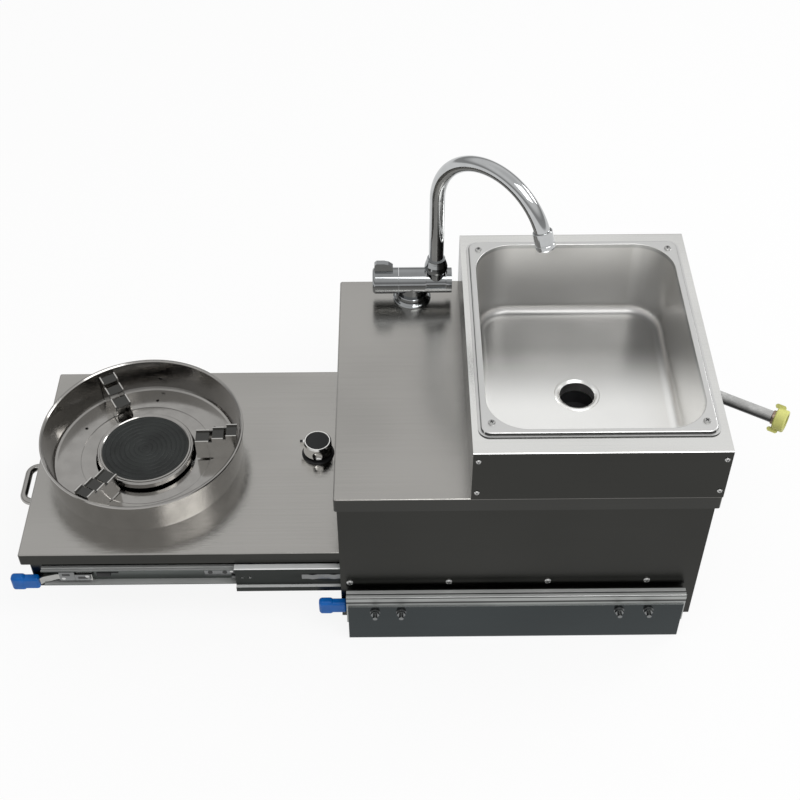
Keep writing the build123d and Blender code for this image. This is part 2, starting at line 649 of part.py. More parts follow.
def sink_bowl():
    """Deep drawn bowl with a raised two-step rim."""
    top = BOX_Z + RIM_HEIGHT
    centre = Pos(SINK_X, SINK_Y, 0)
    lip = extrude(centre * Pos(0, 0, BOX_Z) * RectangleRounded(RIM_X, RIM_Y, 14), 1.6)
    land = extrude(
        centre * Pos(0, 0, BOX_Z) * RectangleRounded(RIM_X - 2 * RIM_LIP, RIM_Y - 2 * RIM_LIP, 12), RIM_HEIGHT
    )
    land = fillet(land.faces().sort_by(Axis.Z)[-1].edges(), 2.2)
    rim = lip + land
    hollow = RectangleRounded(RIM_X - 2 * RIM_LIP - 4, RIM_Y - 2 * RIM_LIP - 4, 10)
    rim -= extrude(centre * Pos(0, 0, BOX_Z) * hollow, RIM_HEIGHT - 1.6)
    bowl = rim + bowl_solid(BOWL_SHEET, BOWL_FLOOR_Z - BOWL_SHEET, top)
    bowl -= bowl_solid(0, BOWL_FLOOR_Z, top)
    for x in (-RIM_SCREW_X, RIM_SCREW_X):
        for y in (-RIM_SCREW_Y, RIM_SCREW_Y):
            bowl -= centre * post(x, y, BOX_Z - 1, top + 1, RIM_SCREW_R + SCREW_GAP)
    bowl -= centre * post(0, 0, BOWL_FLOOR_Z - 5, BOWL_FLOOR_Z + 5, DRAIN_SLEEVE_R + 0.2)
    inside_edge = bowl.edges().filter_by_position(Axis.Z, top - 0.01, top + 0.01)
    inside_edge = inside_edge.filter_by(lambda e: near_opening(e.center()))
    return fillet(inside_edge, 1.0)


def near_opening(point):
    """True on the bowl's mouth, false on the rim's outer edge and the screw holes."""
    dx = abs(point.X - SINK_X)
    dy = abs(point.Y - SINK_Y)
    on_screw = math.hypot(dx - RIM_SCREW_X, dy - RIM_SCREW_Y) < 4
    return not on_screw and dx < OPENING_X / 2 + 0.5 and dy < OPENING_Y / 2 + 0.5


def sink_rim_screws():
    """Pan head screws at the four rim corners."""
    solids = []
    top = BOX_Z + RIM_HEIGHT
    for x in (-RIM_SCREW_X, RIM_SCREW_X):
        for y in (-RIM_SCREW_Y, RIM_SCREW_Y):
            head = turned([(0, 0), (4.6, 0), (4.6, 1.0), (3.6, 2.2), (0, 2.7)])
            screw = Pos(0, 0, top) * head + post(0, 0, BOX_Z - 8, top, RIM_SCREW_R)
            solids.append(Pos(SINK_X + x, SINK_Y + y, 0) * screw)
    return Compound(children=solids)


def drain_flange():
    """Pressed flange and sleeve that clamp the drain cup under the bowl."""
    z = BOWL_FLOOR_Z
    points = [
        (DRAIN_BORE_R, z - 16), (DRAIN_SLEEVE_R, z - 16), (DRAIN_SLEEVE_R, z), (DRAIN_FLANGE_R, z),
        (DRAIN_FLANGE_R, z + 0.6), (DRAIN_FLANGE_R - 1.2, z + 1.6), (DRAIN_BORE_R + 3.5, z + 1.4),
        (DRAIN_BORE_R, z - 1.0),
    ]
    return Pos(SINK_X, SINK_Y, 0) * turned(points)


def drain_gasket():
    """Rubber ring between the bowl and the drain cup."""
    z1 = DRAIN_GASKET_Z
    z0 = DRAIN_CUP_TOP_Z
    ring = [(DRAIN_SLEEVE_R + 0.2, z0), (DRAIN_SEAL_R, z0), (DRAIN_SEAL_R, z1), (DRAIN_SLEEVE_R + 0.2, z1)]
    return Pos(SINK_X, SINK_Y, 0) * turned(ring)


def drain_cup():
    """Moulded cup with a side spigot for the waste hose."""
    top = DRAIN_CUP_TOP_Z
    z0 = DRAIN_BOTTOM_Z
    inner = DRAIN_SLEEVE_R + 0.1
    centre = Pos(SINK_X, SINK_Y, 0)
    flange = top - 4
    cup = centre * turned(
        [(0, z0), (DRAIN_CUP_R, z0), (DRAIN_CUP_R, flange), (DRAIN_SEAL_R, flange), (DRAIN_SEAL_R, top), (0, top)]
    )
    end = SINK_X + DRAIN_CUP_R + SPIGOT_LENGTH
    cup += rod_x(SINK_X, end, SINK_Y, SPIGOT_Z, SPIGOT_R)
    cup -= centre * turned([(0, z0 + 3), (inner, z0 + 3), (inner, top + 1), (0, top + 1)])
    cup -= rod_x(SINK_X, end + 1, SINK_Y, SPIGOT_Z, SPIGOT_R - 2)
    return cup


# Tap


def tap_body():
    """Flange, column, barrel and the two cheeks that carry the spout knuckle."""
    flange_z = COUNTER_Z
    column_top = TAP_AXIS_Z - BARREL_R - SLOT_GAP
    column = Pos(TAP_X, TAP_Y, 0) * turned(
        [
            (0, flange_z - 34), (SHANK_R, flange_z - 34), (SHANK_R, flange_z), (TAP_FLANGE_R, flange_z),
            (TAP_FLANGE_R, flange_z + 1.4), (TAP_FLANGE_R - 0.9, flange_z + 2.4), (TAP_COLUMN_R + 2.2, flange_z + 3.4),
            (TAP_COLUMN_R + 0.6, flange_z + 5.0), (TAP_COLUMN_R, flange_z + 7.5), (TAP_COLUMN_R, column_top - 0.8),
            (TAP_COLUMN_R - 0.8, column_top), (BARREL_THIRD - 0.2, column_top), (BARREL_THIRD - 0.2, TAP_AXIS_Z),
            (0, TAP_AXIS_Z),
        ]
    )
    column -= post(TAP_X, TAP_Y, flange_z - 40, column_top - 2, 8.0)
    right = TAP_X + BARREL_THIRD
    left = TAP_X - BARREL_THIRD
    barrel = rod_x(left, right, TAP_Y, TAP_AXIS_Z, BARREL_R)
    stub = rod_x(left - SPINDLE_LENGTH, left, TAP_Y, TAP_AXIS_Z, SPINDLE_R)
    section = rod_x(right, TAP_X + BARREL_HALF, TAP_Y, TAP_AXIS_Z, BARREL_END_R)
    x0 = STEM_X - KNUCKLE_HALF - SLOT_GAP
    x1 = STEM_X + KNUCKLE_HALF + SLOT_GAP
    section -= rod_x(x0, x1, TAP_Y, TAP_AXIS_Z, KNUCKLE_R + SLOT_GAP)
    section -= block(x0, x1, TAP_Y, TAP_Y + 30, TAP_AXIS_Z - 30, TAP_AXIS_Z + 30)
    section -= block(x0, x1, TAP_Y - 30, TAP_Y + 30, TAP_AXIS_Z, TAP_AXIS_Z + 30)
    body = column + barrel + stub + section
    return body - rod_x(x0 - 3, x1 + 3, TAP_Y, TAP_AXIS_Z, TRUNNION_R + RUN)


def tap_lock_nut():
    """Nut on the shank under the counter."""
    z1 = COUNTER_Z - SHEET
    nut = extrude(RegularPolygon(21.5, 6, major_radius=True), -9)
    nut = Pos(TAP_X, TAP_Y, z1) * nut
    return nut - post(TAP_X, TAP_Y, z1 - 20, z1 + 1, SHANK_R + 0.1)


def tap_handle():
    """Drum that turns the valve, with a thumb tab on top."""
    x1 = TAP_X - BARREL_THIRD - 0.4
    x0 = TAP_X - BARREL_HALF
    drum = rod_x(x0, x1, TAP_Y, TAP_AXIS_Z, BARREL_R)
    drum = fillet(drum.edges().sort_by(Axis.X)[0], 4.0)
    tab_x0 = x0 + 3.0
    tab_x1 = tab_x0 + 25.0
    top = TAP_AXIS_Z + BARREL_R + 14.0
    outline = [
        (tab_x0, TAP_AXIS_Z + 8), (tab_x1, TAP_AXIS_Z + 8), (tab_x1, top - 6), (tab_x1 - 6, top - 1.5),
        (tab_x1 - 12, top), (tab_x0 + 3, top), (tab_x0, top - 3),
    ]
    face = make_face(Polyline(*[(x, TAP_Y - 4, z) for x, z in outline], close=True))
    tab = extrude(face, amount=8, dir=(0, 1, 0))
    handle = drum + tab
    return handle - rod_x(x1 - SPINDLE_LENGTH - 1, x1 + 1, TAP_Y, TAP_AXIS_Z, SPINDLE_R + RUN)


def spout_knuckle():
    """Egg-shaped socket on trunnions; the spout turns in it and it folds back."""
    drum = rod_x(STEM_X - KNUCKLE_HALF, STEM_X + KNUCKLE_HALF, TAP_Y, TAP_AXIS_Z, KNUCKLE_R)
    reach = KNUCKLE_HALF + SLOT_GAP + 2.5
    pins = rod_x(STEM_X - reach, STEM_X + reach, TAP_Y, TAP_AXIS_Z, TRUNNION_R)
    egg = turned(
        [
            (0, 0), (KNUCKLE_HALF - 0.4, 0), (KNUCKLE_HALF - 0.2, 17.4), (14.4, 19), (15.4, 21), (15.8, 23.5),
            (15.6, 26.5), (14.8, 30), (13.4, 34.5), (12.2, 37.5), (12.2, 39), (0, 39),
        ]
    )
    knuckle = drum + pins + Pos(STEM_X, TAP_Y, TAP_AXIS_Z) * egg
    return knuckle - post(STEM_X, TAP_Y, TAP_AXIS_Z + 18, TAP_AXIS_Z + 60, TUBE_R + RUN)


def spout_frame():
    """Place of the spout's own frame: foot of the tube, arc toward local +X."""
    return Pos(STEM_X, TAP_Y, SPOUT_BASE_Z) * Rot(0, 0, SPOUT_AZIMUTH)


def spout_end():
    """End of the spout's centre line and its direction, in the spout's frame."""
    angle = math.radians(SPOUT_SWEEP)
    rise = SPOUT_RISE_Z - SPOUT_BASE_Z
    point = (SPOUT_R * (1 - math.cos(angle)), rise + SPOUT_R * math.sin(angle))
    return point, (math.sin(angle), math.cos(angle))


def spout_tube():
    """Bent chrome tube."""
    rise = SPOUT_RISE_Z - SPOUT_BASE_Z
    middle = math.radians(SPOUT_SWEEP / 2)
    (end_x, end_z), _ = spout_end()
    middle_point = (SPOUT_R * (1 - math.cos(middle)), 0, rise + SPOUT_R * math.sin(middle))
    path = Line((0, 0, 0), (0, 0, rise)) + ThreePointArc((0, 0, rise), middle_point, (end_x, 0, end_z))
    section = Circle(TUBE_R) - Circle(TUBE_R - TUBE_WALL)
    return spout_frame() * sweep(section, path=path)


def aerator():
    """Knurled outlet sleeve on the spout's end."""
    (end_x, end_z), (dx, dz) = spout_end()
    out = AERATOR_LENGTH - AERATOR_HOLD
    sleeve = turned(
        [
            (TUBE_R, -AERATOR_HOLD), (AERATOR_R - 0.8, -AERATOR_HOLD), (AERATOR_R, 0.8 - AERATOR_HOLD),
            (AERATOR_R, 9.4), (AERATOR_R - 0.5, 10), (AERATOR_R - 0.5, 11), (AERATOR_R, 11.6), (AERATOR_R, out - 2),
            (AERATOR_R - 1, out), (8.0, out), (8.0, out - 3), (6.5, out - 3), (6.5, 0), (TUBE_R, 0),
        ]
    )
    tilt = math.degrees(math.atan2(dx, dz))
    return spout_frame() * Pos(end_x, 0, end_z) * Rot(0, tilt, 0) * sleeve


# Stove drawer


def stove_plate():
    """Drawer top with a folded skirt, the burner opening and the valve stem hole."""
    plate = cap(PLATE_X0, PLATE_X1, PLATE_Y0, PLATE_Y1, PLATE_Z, PLATE_SKIRT, SHEET, CORNER_R)
    plate -= post(BURNER_X, BURNER_Y, PLATE_Z - 5, PLATE_Z + 5, BURNER_HOLE_R)
    return plate - post(KNOB_X, KNOB_Y, PLATE_Z - 5, PLATE_Z + 5, 7.0)


def stove_tray():
    """Drawer body under the plate."""
    body = tray(TRAY_X0, TRAY_X1, TRAY_Y0, TRAY_Y1, TRAY_Z0, PLATE_Z - SHEET, BOWL_SHEET, CORNER_R)
    return body - rod_x(TRAY_X1 - 5, TRAY_X1 + 5, KNOB_Y, VALVE_Z, 8.0)


def stove_handle():
    """Bow handle on the tray's left end."""
    y0, y1 = HANDLE_Y
    x1 = TRAY_X0
    x0 = TRAY_X0 - HANDLE_REACH
    path = FilletPolyline(
        (x1, y0, HANDLE_Z), (x0, y0, HANDLE_Z), (x0, y1, HANDLE_Z), (x1, y1, HANDLE_Z), radius=HANDLE_CORNER
    )
    section = Plane(origin=(x1, y0, HANDLE_Z), z_dir=(-1, 0, 0)) * Circle(HANDLE_ROD_R)
    bow = sweep(section, path=path)
    for y in (y0, y1):
        bow += rod_x(x1 - 2.5, x1, y, HANDLE_Z, HANDLE_ROD_R + 3.5)
    return bow


def burner_place():
    """Centre of the burner on the plate."""
    return Pos(BURNER_X, BURNER_Y, PLATE_Z)


def wind_bowl():
    """Round wind shield with a rolled rim and a shallow drip dish inside."""
    t = BOWL_SHEET
    line = [
        (WIND_FOOT_R, 0), (WIND_RIM_R - 0.8, WIND_HEIGHT - 5), (WIND_RIM_R + 1.6, WIND_HEIGHT - 2.4),
        (WIND_RIM_R + 1.2, WIND_HEIGHT - 0.4), (WIND_RIM_R - 0.8, WIND_HEIGHT), (WIND_RIM_R - 2.6, WIND_HEIGHT - 1.6),
        (WIND_RIM_R - 3.4, WIND_HEIGHT - 6), (DISH_R + 1.4, DISH_TOP_H + 3.2), (DISH_R, DISH_TOP_H + 0.9),
        (DISH_R - 3, DISH_TOP_H), (LIP_R + 1, DISH_LOW_H), (LIP_R + 0.2, DISH_LOW_H - 0.2),
        (LIP_R, DISH_FLOOR_H + 0.2), (LIP_R - 0.4, DISH_FLOOR_H), (BURNER_HOLE_R, DISH_FLOOR_H),
    ]
    bowl = turned(strip(line, t))
    for angle in (28, 88, 152, 268):
        place = Rot(0, 0, angle) * Pos(LIP_R + 12.0, 0, DISH_LOW_H)
        bowl -= place * Cylinder(2.2, 12)
    hole = Rot(0, 0, WIND_HOLE_ANGLE) * Pos(WIND_FOOT_R - 2.0, 0, WIND_HOLE_H) * Rot(0, 90, 0) * Cylinder(2.4, 24)
    return burner_place() * (bowl - hole)


def dish_height(x):
    """Height of the drip dish under a support's outer face at radial distance x."""
    r = math.hypot(x, SUPPORT_HALF)
    slope = (DISH_TOP_H - DISH_LOW_H) / (DISH_R - 3 - LIP_R - 1)
    return DISH_LOW_H + (r - LIP_R - 1) * slope + 0.03


def pot_support(angle):
    """Folded channel: two stepped fins joined by a closed tread on every step."""
    r0 = SUPPORT_R0
    r1 = SUPPORT_R1
    foot = r1 - 8.0
    toe = LIP_R + 5.0
    low, middle, high = SUPPORT_STEPS
    low_end = r0 + SUPPORT_LOW_END
    middle_start = r0 + SUPPORT_MIDDLE_START
    middle_end = r0 + SUPPORT_MIDDLE_END
    high_start = r0 + SUPPORT_HIGH_START
    low_notch = low - SUPPORT_NOTCH
    middle_notch = middle - SUPPORT_NOTCH
    profile = [
        (r0, 4.0), (r0, low), (low_end, low), (low_end, low_notch), (middle_start, low_notch),
        (middle_start, middle), (middle_end, middle), (middle_end, middle_notch), (high_start, middle_notch),
        (high_start, high), (r1, high), (r1, 31), (r1 - 4, 16), (foot, dish_height(foot)),
        (toe, dish_height(toe)), (toe - 3, 4.0),
    ]
    fins = []
    for y in (-SUPPORT_HALF, SUPPORT_HALF - SHEET):
        face = make_face(Polyline(*[(r, y, h) for r, h in profile], close=True))
        fins.append(extrude(face, amount=SHEET, dir=(0, 1, 0)))
    support = fins[0] + fins[1]
    for near, far, height in ((r0, low_end, low), (middle_start, middle_end, middle), (high_start, r1, high)):
        top = height - SUPPORT_TREAD_DEPTH
        support += block(near, far, -SUPPORT_HALF, SUPPORT_HALF, top - SHEET, top)
    return burner_place() * Rot(0, 0, angle) * support


def pot_supports():
    """The three pot supports."""
    return Compound(children=[pot_support(angle) for angle in SUPPORT_ANGLES])


def burner_cup():
    """Burner chamber on three feet that stand on the tray floor."""
    shoulder_r = CUP_R - CUP_SHOULDER
    line = [(CUP_R, BURNER_TOP - 3), (CUP_R, -CUP_SHOULDER), (shoulder_r, -CUP_DEPTH), (0, -CUP_DEPTH)]
    cup = turned(strip(line, -CUP_SHEET))
    near = CUP_FOOT_R
    half = CUP_FOOT_HALF
    foot = block(near, near + CUP_FOOT_LENGTH, -half, half, CUP_BASE, CUP_BASE + CUP_FOOT_SHEET)
    foot += block(near, near + CUP_FOOT_SHEET, -half, half, CUP_BASE, 0.5 - CUP_DEPTH)
    for angle in (30, 150, 270):
        cup += Rot(0, 0, angle) * foot
    cup = burner_place() * cup
    return cup - rod_x(BURNER_X + MIXER_START - 6, BURNER_X + CUP_R + 10, BURNER_Y, VALVE_Z, MIXER_R + 0.1)


def burner_ring():
    """Bright double-stepped ring around the burner disc."""
    points = [
        (CUP_R + 0.1, BURNER_TOP - 9), (RING_R, BURNER_TOP - 9), (RING_R, BURNER_TOP - 2.2),
        (RING_R - 1.2, BURNER_TOP - 1.0), (RING_R - 3.0, BURNER_TOP - 0.8), (RING_R - 3.6, BURNER_TOP + 0.4),
        (DISC_R + 1.2, BURNER_TOP + 0.4), (DISC_R, BURNER_TOP - 0.6), (DISC_R, BURNER_TOP - 3),
        (CUP_R + 0.1, BURNER_TOP - 3),
    ]
    return burner_place() * turned(points)


def burner_disc():
    """Dark burner plate with concentric grooves."""
    z = BURNER_TOP - 0.6
    top = [(0, z - 0.6), (3.4, z - 0.6), (4.0, z)]
    r = 4.0
    while r + 6.4 < DISC_R - 1.0:
        top += [(r + 4.2, z), (r + 4.9, z - 0.5), (r + 5.7, z - 0.5), (r + 6.4, z)]
        r += 6.4
    edge = DISC_R - RUN
    top += [(edge, z), (edge, z - 2.4), (CUP_R - 1.7, z - 2.4), (CUP_R - 1.7, z - 9), (0, z - 9)]
    return burner_place() * turned(top)


def mixing_tube():
    """Gas pipe from the valve and the wider mixing tube into the burner cup."""
    x0 = BURNER_X + MIXER_START
    x1 = x0 + 90
    tube = rod_x(x0, x1, BURNER_Y, VALVE_Z, MIXER_R)
    tube += rod_x(x1, KNOB_X - 17.0, BURNER_Y, VALVE_Z, 5.0)
    tube += rod_x(x1 + 14, x1 + 28, BURNER_Y, VALVE_Z, 8.0)
    tube -= rod_x(x0 - 1, x1 - 6, BURNER_Y, VALVE_Z, MIXER_R - 2)
    for z in (-1, 1):
        tube -= block(x1 - 22, x1 - 10, BURNER_Y - 6, BURNER_Y + 6, VALVE_Z + z * 7, VALVE_Z + z * 14)
    return tube


def gas_valve():
    """Valve body under the plate with its hose tail toward the cabinet."""
    top = PLATE_Z - SHEET
    body = block(KNOB_X - 17, KNOB_X + 17, KNOB_Y - 15, KNOB_Y + 15, VALVE_Z - 15, top - 12)
    body += post(KNOB_X, KNOB_Y, top - 13, top, 14.0)
    tail_end = TRAY_X1 + 12
    body += rod_x(KNOB_X, tail_end, KNOB_Y, VALVE_Z, 5.0)
    body -= rod_x(KNOB_X + 20, tail_end + 1, KNOB_Y, VALVE_Z, 3.0)
    body -= post(KNOB_X, KNOB_Y, top - 26, top + 1, STEM_R + RUN)
    return body


def knob_bezel():
    """Dark ring on the plate under the knob."""
    ring = [(7.0, 0), (KNOB_R + 2.5, 0), (KNOB_R + 2.5, 1.0), (KNOB_R + 1.0, BEZEL_HEIGHT), (7.0, BEZEL_HEIGHT)]
    return Pos(KNOB_X, KNOB_Y, PLATE_Z) * turned(ring)


def valve_stem():
    """Stem with a flat that drives the knob."""
    stem = post(KNOB_X, KNOB_Y, PLATE_Z - 27.4, STEM_TOP_Z, STEM_R)
    low = KNOB_BOTTOM_Z - KNOB_PRESS - 1.0
    flat = block(KNOB_X + STEM_FLAT, KNOB_X + 6, KNOB_Y - 6, KNOB_Y + 6, low, STEM_TOP_Z + 1)
    return stem - flat


def control_knob():
    """Round knob with a pointer; it presses in before it turns."""
    knob = Pos(KNOB_X, KNOB_Y, 0) * turned(
        [
            (0, KNOB_BOTTOM_Z), (KNOB_R - 1.0, KNOB_BOTTOM_Z), (KNOB_R, KNOB_BOTTOM_Z + 1.5),
            (KNOB_R - 0.6, KNOB_TOP_Z - 2.0), (KNOB_R - 2.2, KNOB_TOP_Z), (KNOB_R - 3.4, KNOB_TOP_Z),
            (KNOB_R - 3.8, KNOB_TOP_Z - 1.2), (0, KNOB_TOP_Z - 1.2),
        ]
    )
    knob += block(KNOB_X - KNOB_R - 4, KNOB_X - KNOB_R + 4, KNOB_Y - 2.5, KNOB_Y + 2.5, KNOB_TOP_Z - 9, KNOB_TOP_Z - 1)
    knob -= Pos(KNOB_X, KNOB_Y - KNOB_R - KNOB_SCOOP_R + 3.2, KNOB_BOTTOM_Z + 7.5) * Sphere(KNOB_SCOOP_R)
    bore = post(KNOB_X, KNOB_Y, KNOB_BOTTOM_Z - 1, STEM_TOP_Z + KNOB_PRESS + 0.6, STEM_R + RUN)
    bore -= block(KNOB_X + STEM_FLAT + RUN, KNOB_X + 6, KNOB_Y - 6, KNOB_Y + 6, KNOB_BOTTOM_Z - 2, KNOB_TOP_Z)
    return knob - bore


# Hose


def hose_line():
    """Centre line of the hose: straight through the grommet, one bend, then straight."""
    turn = math.radians(HOSE_TURN)
    start = (CABINET_X1 - 12.0, HOSE_Y, HOSE_Z)
    bend = (HOSE_BEND_X, HOSE_Y, HOSE_Z)
    half = turn / 2
    middle = (HOSE_BEND_X + HOSE_BEND_R * math.sin(half), HOSE_Y - HOSE_BEND_R * (1 - math.cos(half)), HOSE_Z)
    after = (HOSE_BEND_X + HOSE_BEND_R * math.sin(turn), HOSE_Y - HOSE_BEND_R * (1 - math.cos(turn)), HOSE_Z)
    end = (after[0] + HOSE_TAIL * math.cos(turn), after[1] - HOSE_TAIL * math.sin(turn), HOSE_Z)
    return start, bend, middle, after, end


def hose_end_frame():
    """Frame at the hose's free end, local Z along the hose."""
    end = hose_line()[-1]
    return Pos(*end) * Rot(0, 0, -HOSE_TURN) * Rot(0, 90, 0)


def supply_hose():
    """Flexible hose that leaves the end panel."""
    start, bend, middle, after, end = hose_line()
    path = Line(start, bend) + ThreePointArc(bend, middle, after) + Line(after, end)
    section = Plane(origin=start, z_dir=(1, 0, 0)) * (Circle(HOSE_R) - Circle(HOSE_R - HOSE_WALL))
    return sweep(section, path=path)


def hose_grommet():
    """Rubber grommet in the end panel."""
    x1 = CABINET_X1
    flange = 14.0
    points = [
        (HOSE_R, -4.0), (flange - 1, -4.0), (flange, -3.2), (flange, -SHEET), (GROMMET_NECK_R, -SHEET),
        (GROMMET_NECK_R, 0.0), (flange, 0.0), (flange, 1.0), (flange - 1.5, 2.4), (HOSE_R, 2.4),
    ]
    return Pos(x1, HOSE_Y, HOSE_Z) * Rot(0, 90, 0) * turned(points)


def hose_ferrule():
    """Brass ferrule crimped on the hose's end, with the collar that keeps the nut."""
    points = [
        (HOSE_R, -4), (HOSE_R + 1.0, -4), (HOSE_R + 1.4, -3.2), (HOSE_R + 1.4, 1.6), (HOSE_R - 0.5, 2.6),
        (HOSE_R - 0.5, 5.8), (HOSE_R + 1.6, 5.8), (HOSE_R + 1.6, 7.6), (4.5, 7.6), (4.5, 0.0), (HOSE_R, 0.0),
    ]
    return hose_end_frame() * turned(points)


def hose_wing_nut():
    """Swivel nut with two finger wings."""
    neck = HOSE_R - 0.5 + RUN
    points = [
        (neck, 3.2), (12.2, 3.2), (12.2, 0.8), (NUT_R - 1.2, 0.0), (NUT_R, 1.5), (NUT_R, NUT_LENGTH - 1.4),
        (NUT_R - 1.2, NUT_LENGTH), (10.5, NUT_LENGTH), (10.5, 7.8), (10.0, 7.8), (10.0, 5.6), (neck, 5.6),
    ]
    nut = turned(points)
    for sign in (-1, 1):
        wing = block(sign * 12.8, sign * 19.0, -2.2, 2.2, -5.0, 9.0)
        nut += chamfer(wing.edges().filter_by(Axis.Y), 2.0)
    return hose_end_frame() * Rot(0, 0, -45) * nut


def build():
    """All nodes by name."""
    parts = {
        "base_pan": base_pan(),
        "base_bolts": base_bolts(),
        "front_panel": side_panel(1),
        "rear_panel": side_panel(-1),
        "end_panel": end_panel(),
        "cabinet_floor": cabinet_floor(),
        "rear_spacer": rear_spacer(),
        "slide_screws": slide_screws(),
        "counter_top": counter_top(),
        "sink_hood": sink_hood(),
        "sink_box_ends": sink_box_ends(),
        "sink_box_screws": sink_box_screws(),
        "sink_bowl": sink_bowl(),
        "sink_rim_screws": sink_rim_screws(),
        "drain_flange": drain_flange(),
        "drain_gasket": drain_gasket(),
        "drain_cup": drain_cup(),
        "tap_body": tap_body(),
        "tap_lock_nut": tap_lock_nut(),
        "tap_handle": tap_handle(),
        "spout_knuckle": spout_knuckle(),
        "spout_tube": spout_tube(),
        "aerator": aerator(),
        "stove_plate": stove_plate(),
        "stove_tray": stove_tray(),
        "stove_handle": stove_handle(),
        "wind_bowl": wind_bowl(),
        "pot_supports": pot_supports(),
        "burner_cup": burner_cup(),
        "burner_ring": burner_ring(),
        "burner_disc": burner_disc(),
        "mixing_tube": mixing_tube(),
        "gas_valve": gas_valve(),
        "knob_bezel": knob_bezel(),
        "valve_stem": valve_stem(),
        "control_knob": control_knob(),
        "supply_hose": supply_hose(),
        "hose_grommet": hose_grommet(),
        "hose_ferrule": hose_ferrule(),
        "hose_wing_nut": hose_wing_nut(),
    }
    bolt_hole = BASE_BOLT_R + BASE_BOLT_GAP
    parts |= slide("cab", "front", (-BASE_INNER_Y, 1, CAB_SLIDE_Z), CAB_SPANS, BASE_BOLT_XS, bolt_hole)
    parts |= slide("cab", "rear", (BASE_INNER_Y, -1, CAB_SLIDE_Z), CAB_SPANS, BASE_BOLT_XS, bolt_hole)
    screw_hole = SLIDE_SCREW_R + SCREW_GAP
    front = (STOVE_FRONT_WALL_Y, 1, STOVE_SLIDE_Z)
    rear = (STOVE_REAR_WALL_Y, -1, STOVE_SLIDE_Z)
    parts |= slide("stove", "front", front, STOVE_SPANS, SLIDE_SCREW_XS, screw_hole)
    parts |= slide("stove", "rear", rear, STOVE_REAR_SPANS, REAR_SCREW_XS, screw_hole)
    return parts


os.makedirs("parts", exist_ok=True)
for node, shape in build().items():
    export_step(shape, "parts/" + node + ".step")
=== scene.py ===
"""Looks of a pull-out camper kitchen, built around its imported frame.

A raised sink box with a folding tap stands on a steel cabinet, and a stove drawer is pulled out to
its left. Every length is in metres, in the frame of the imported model: +Z up, +X along the slides
toward the sink end, -Y toward the user.
"""

import logging
import math
from dataclasses import dataclass
from enum import Enum
from typing import Any, Iterable, Optional, Sequence, Union

import bmesh
import bpy
from mathutils import Matrix, Vector


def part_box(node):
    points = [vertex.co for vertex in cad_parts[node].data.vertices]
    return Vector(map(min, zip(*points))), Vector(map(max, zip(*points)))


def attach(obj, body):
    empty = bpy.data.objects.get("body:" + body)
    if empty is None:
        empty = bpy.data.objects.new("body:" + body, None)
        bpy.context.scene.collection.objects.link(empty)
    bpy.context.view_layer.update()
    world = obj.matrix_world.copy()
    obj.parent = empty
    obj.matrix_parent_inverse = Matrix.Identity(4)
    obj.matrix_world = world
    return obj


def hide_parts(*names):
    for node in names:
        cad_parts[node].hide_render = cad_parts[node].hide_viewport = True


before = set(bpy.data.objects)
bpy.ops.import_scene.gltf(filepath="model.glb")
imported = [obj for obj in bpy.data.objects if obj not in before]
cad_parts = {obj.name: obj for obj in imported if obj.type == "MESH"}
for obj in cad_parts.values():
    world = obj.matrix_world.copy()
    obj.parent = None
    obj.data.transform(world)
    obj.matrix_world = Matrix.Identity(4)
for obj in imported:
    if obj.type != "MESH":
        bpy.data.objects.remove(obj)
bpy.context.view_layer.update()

LOG = logging.getLogger("camper_kitchen")

# Values between which noise mostly lies.
NOISE_SPAN = (0.3, 0.7)
# Depth below the top of a cabinet slide's outer rail, and half width, of each rolled groove, drawn
# as a band of painted shade.
RAIL_GROOVES = ((0.0092, 0.0023), (0.0009, 0.0007))

Colour = tuple[float, float, float]


class Grain(Enum):
    """Direction in which a sheet was brushed."""

    ALONG_X = (0.012, 1.0, 1.0)
    ALONG_Y = (1.0, 0.012, 1.0)


class Side(Enum):
    """Front or rear slide; the value is the inward Y direction."""

    FRONT = 1
    REAR = -1

    @property
    def word(self) -> str:
        """Name ending of the side's nodes."""
        return self.name.lower()


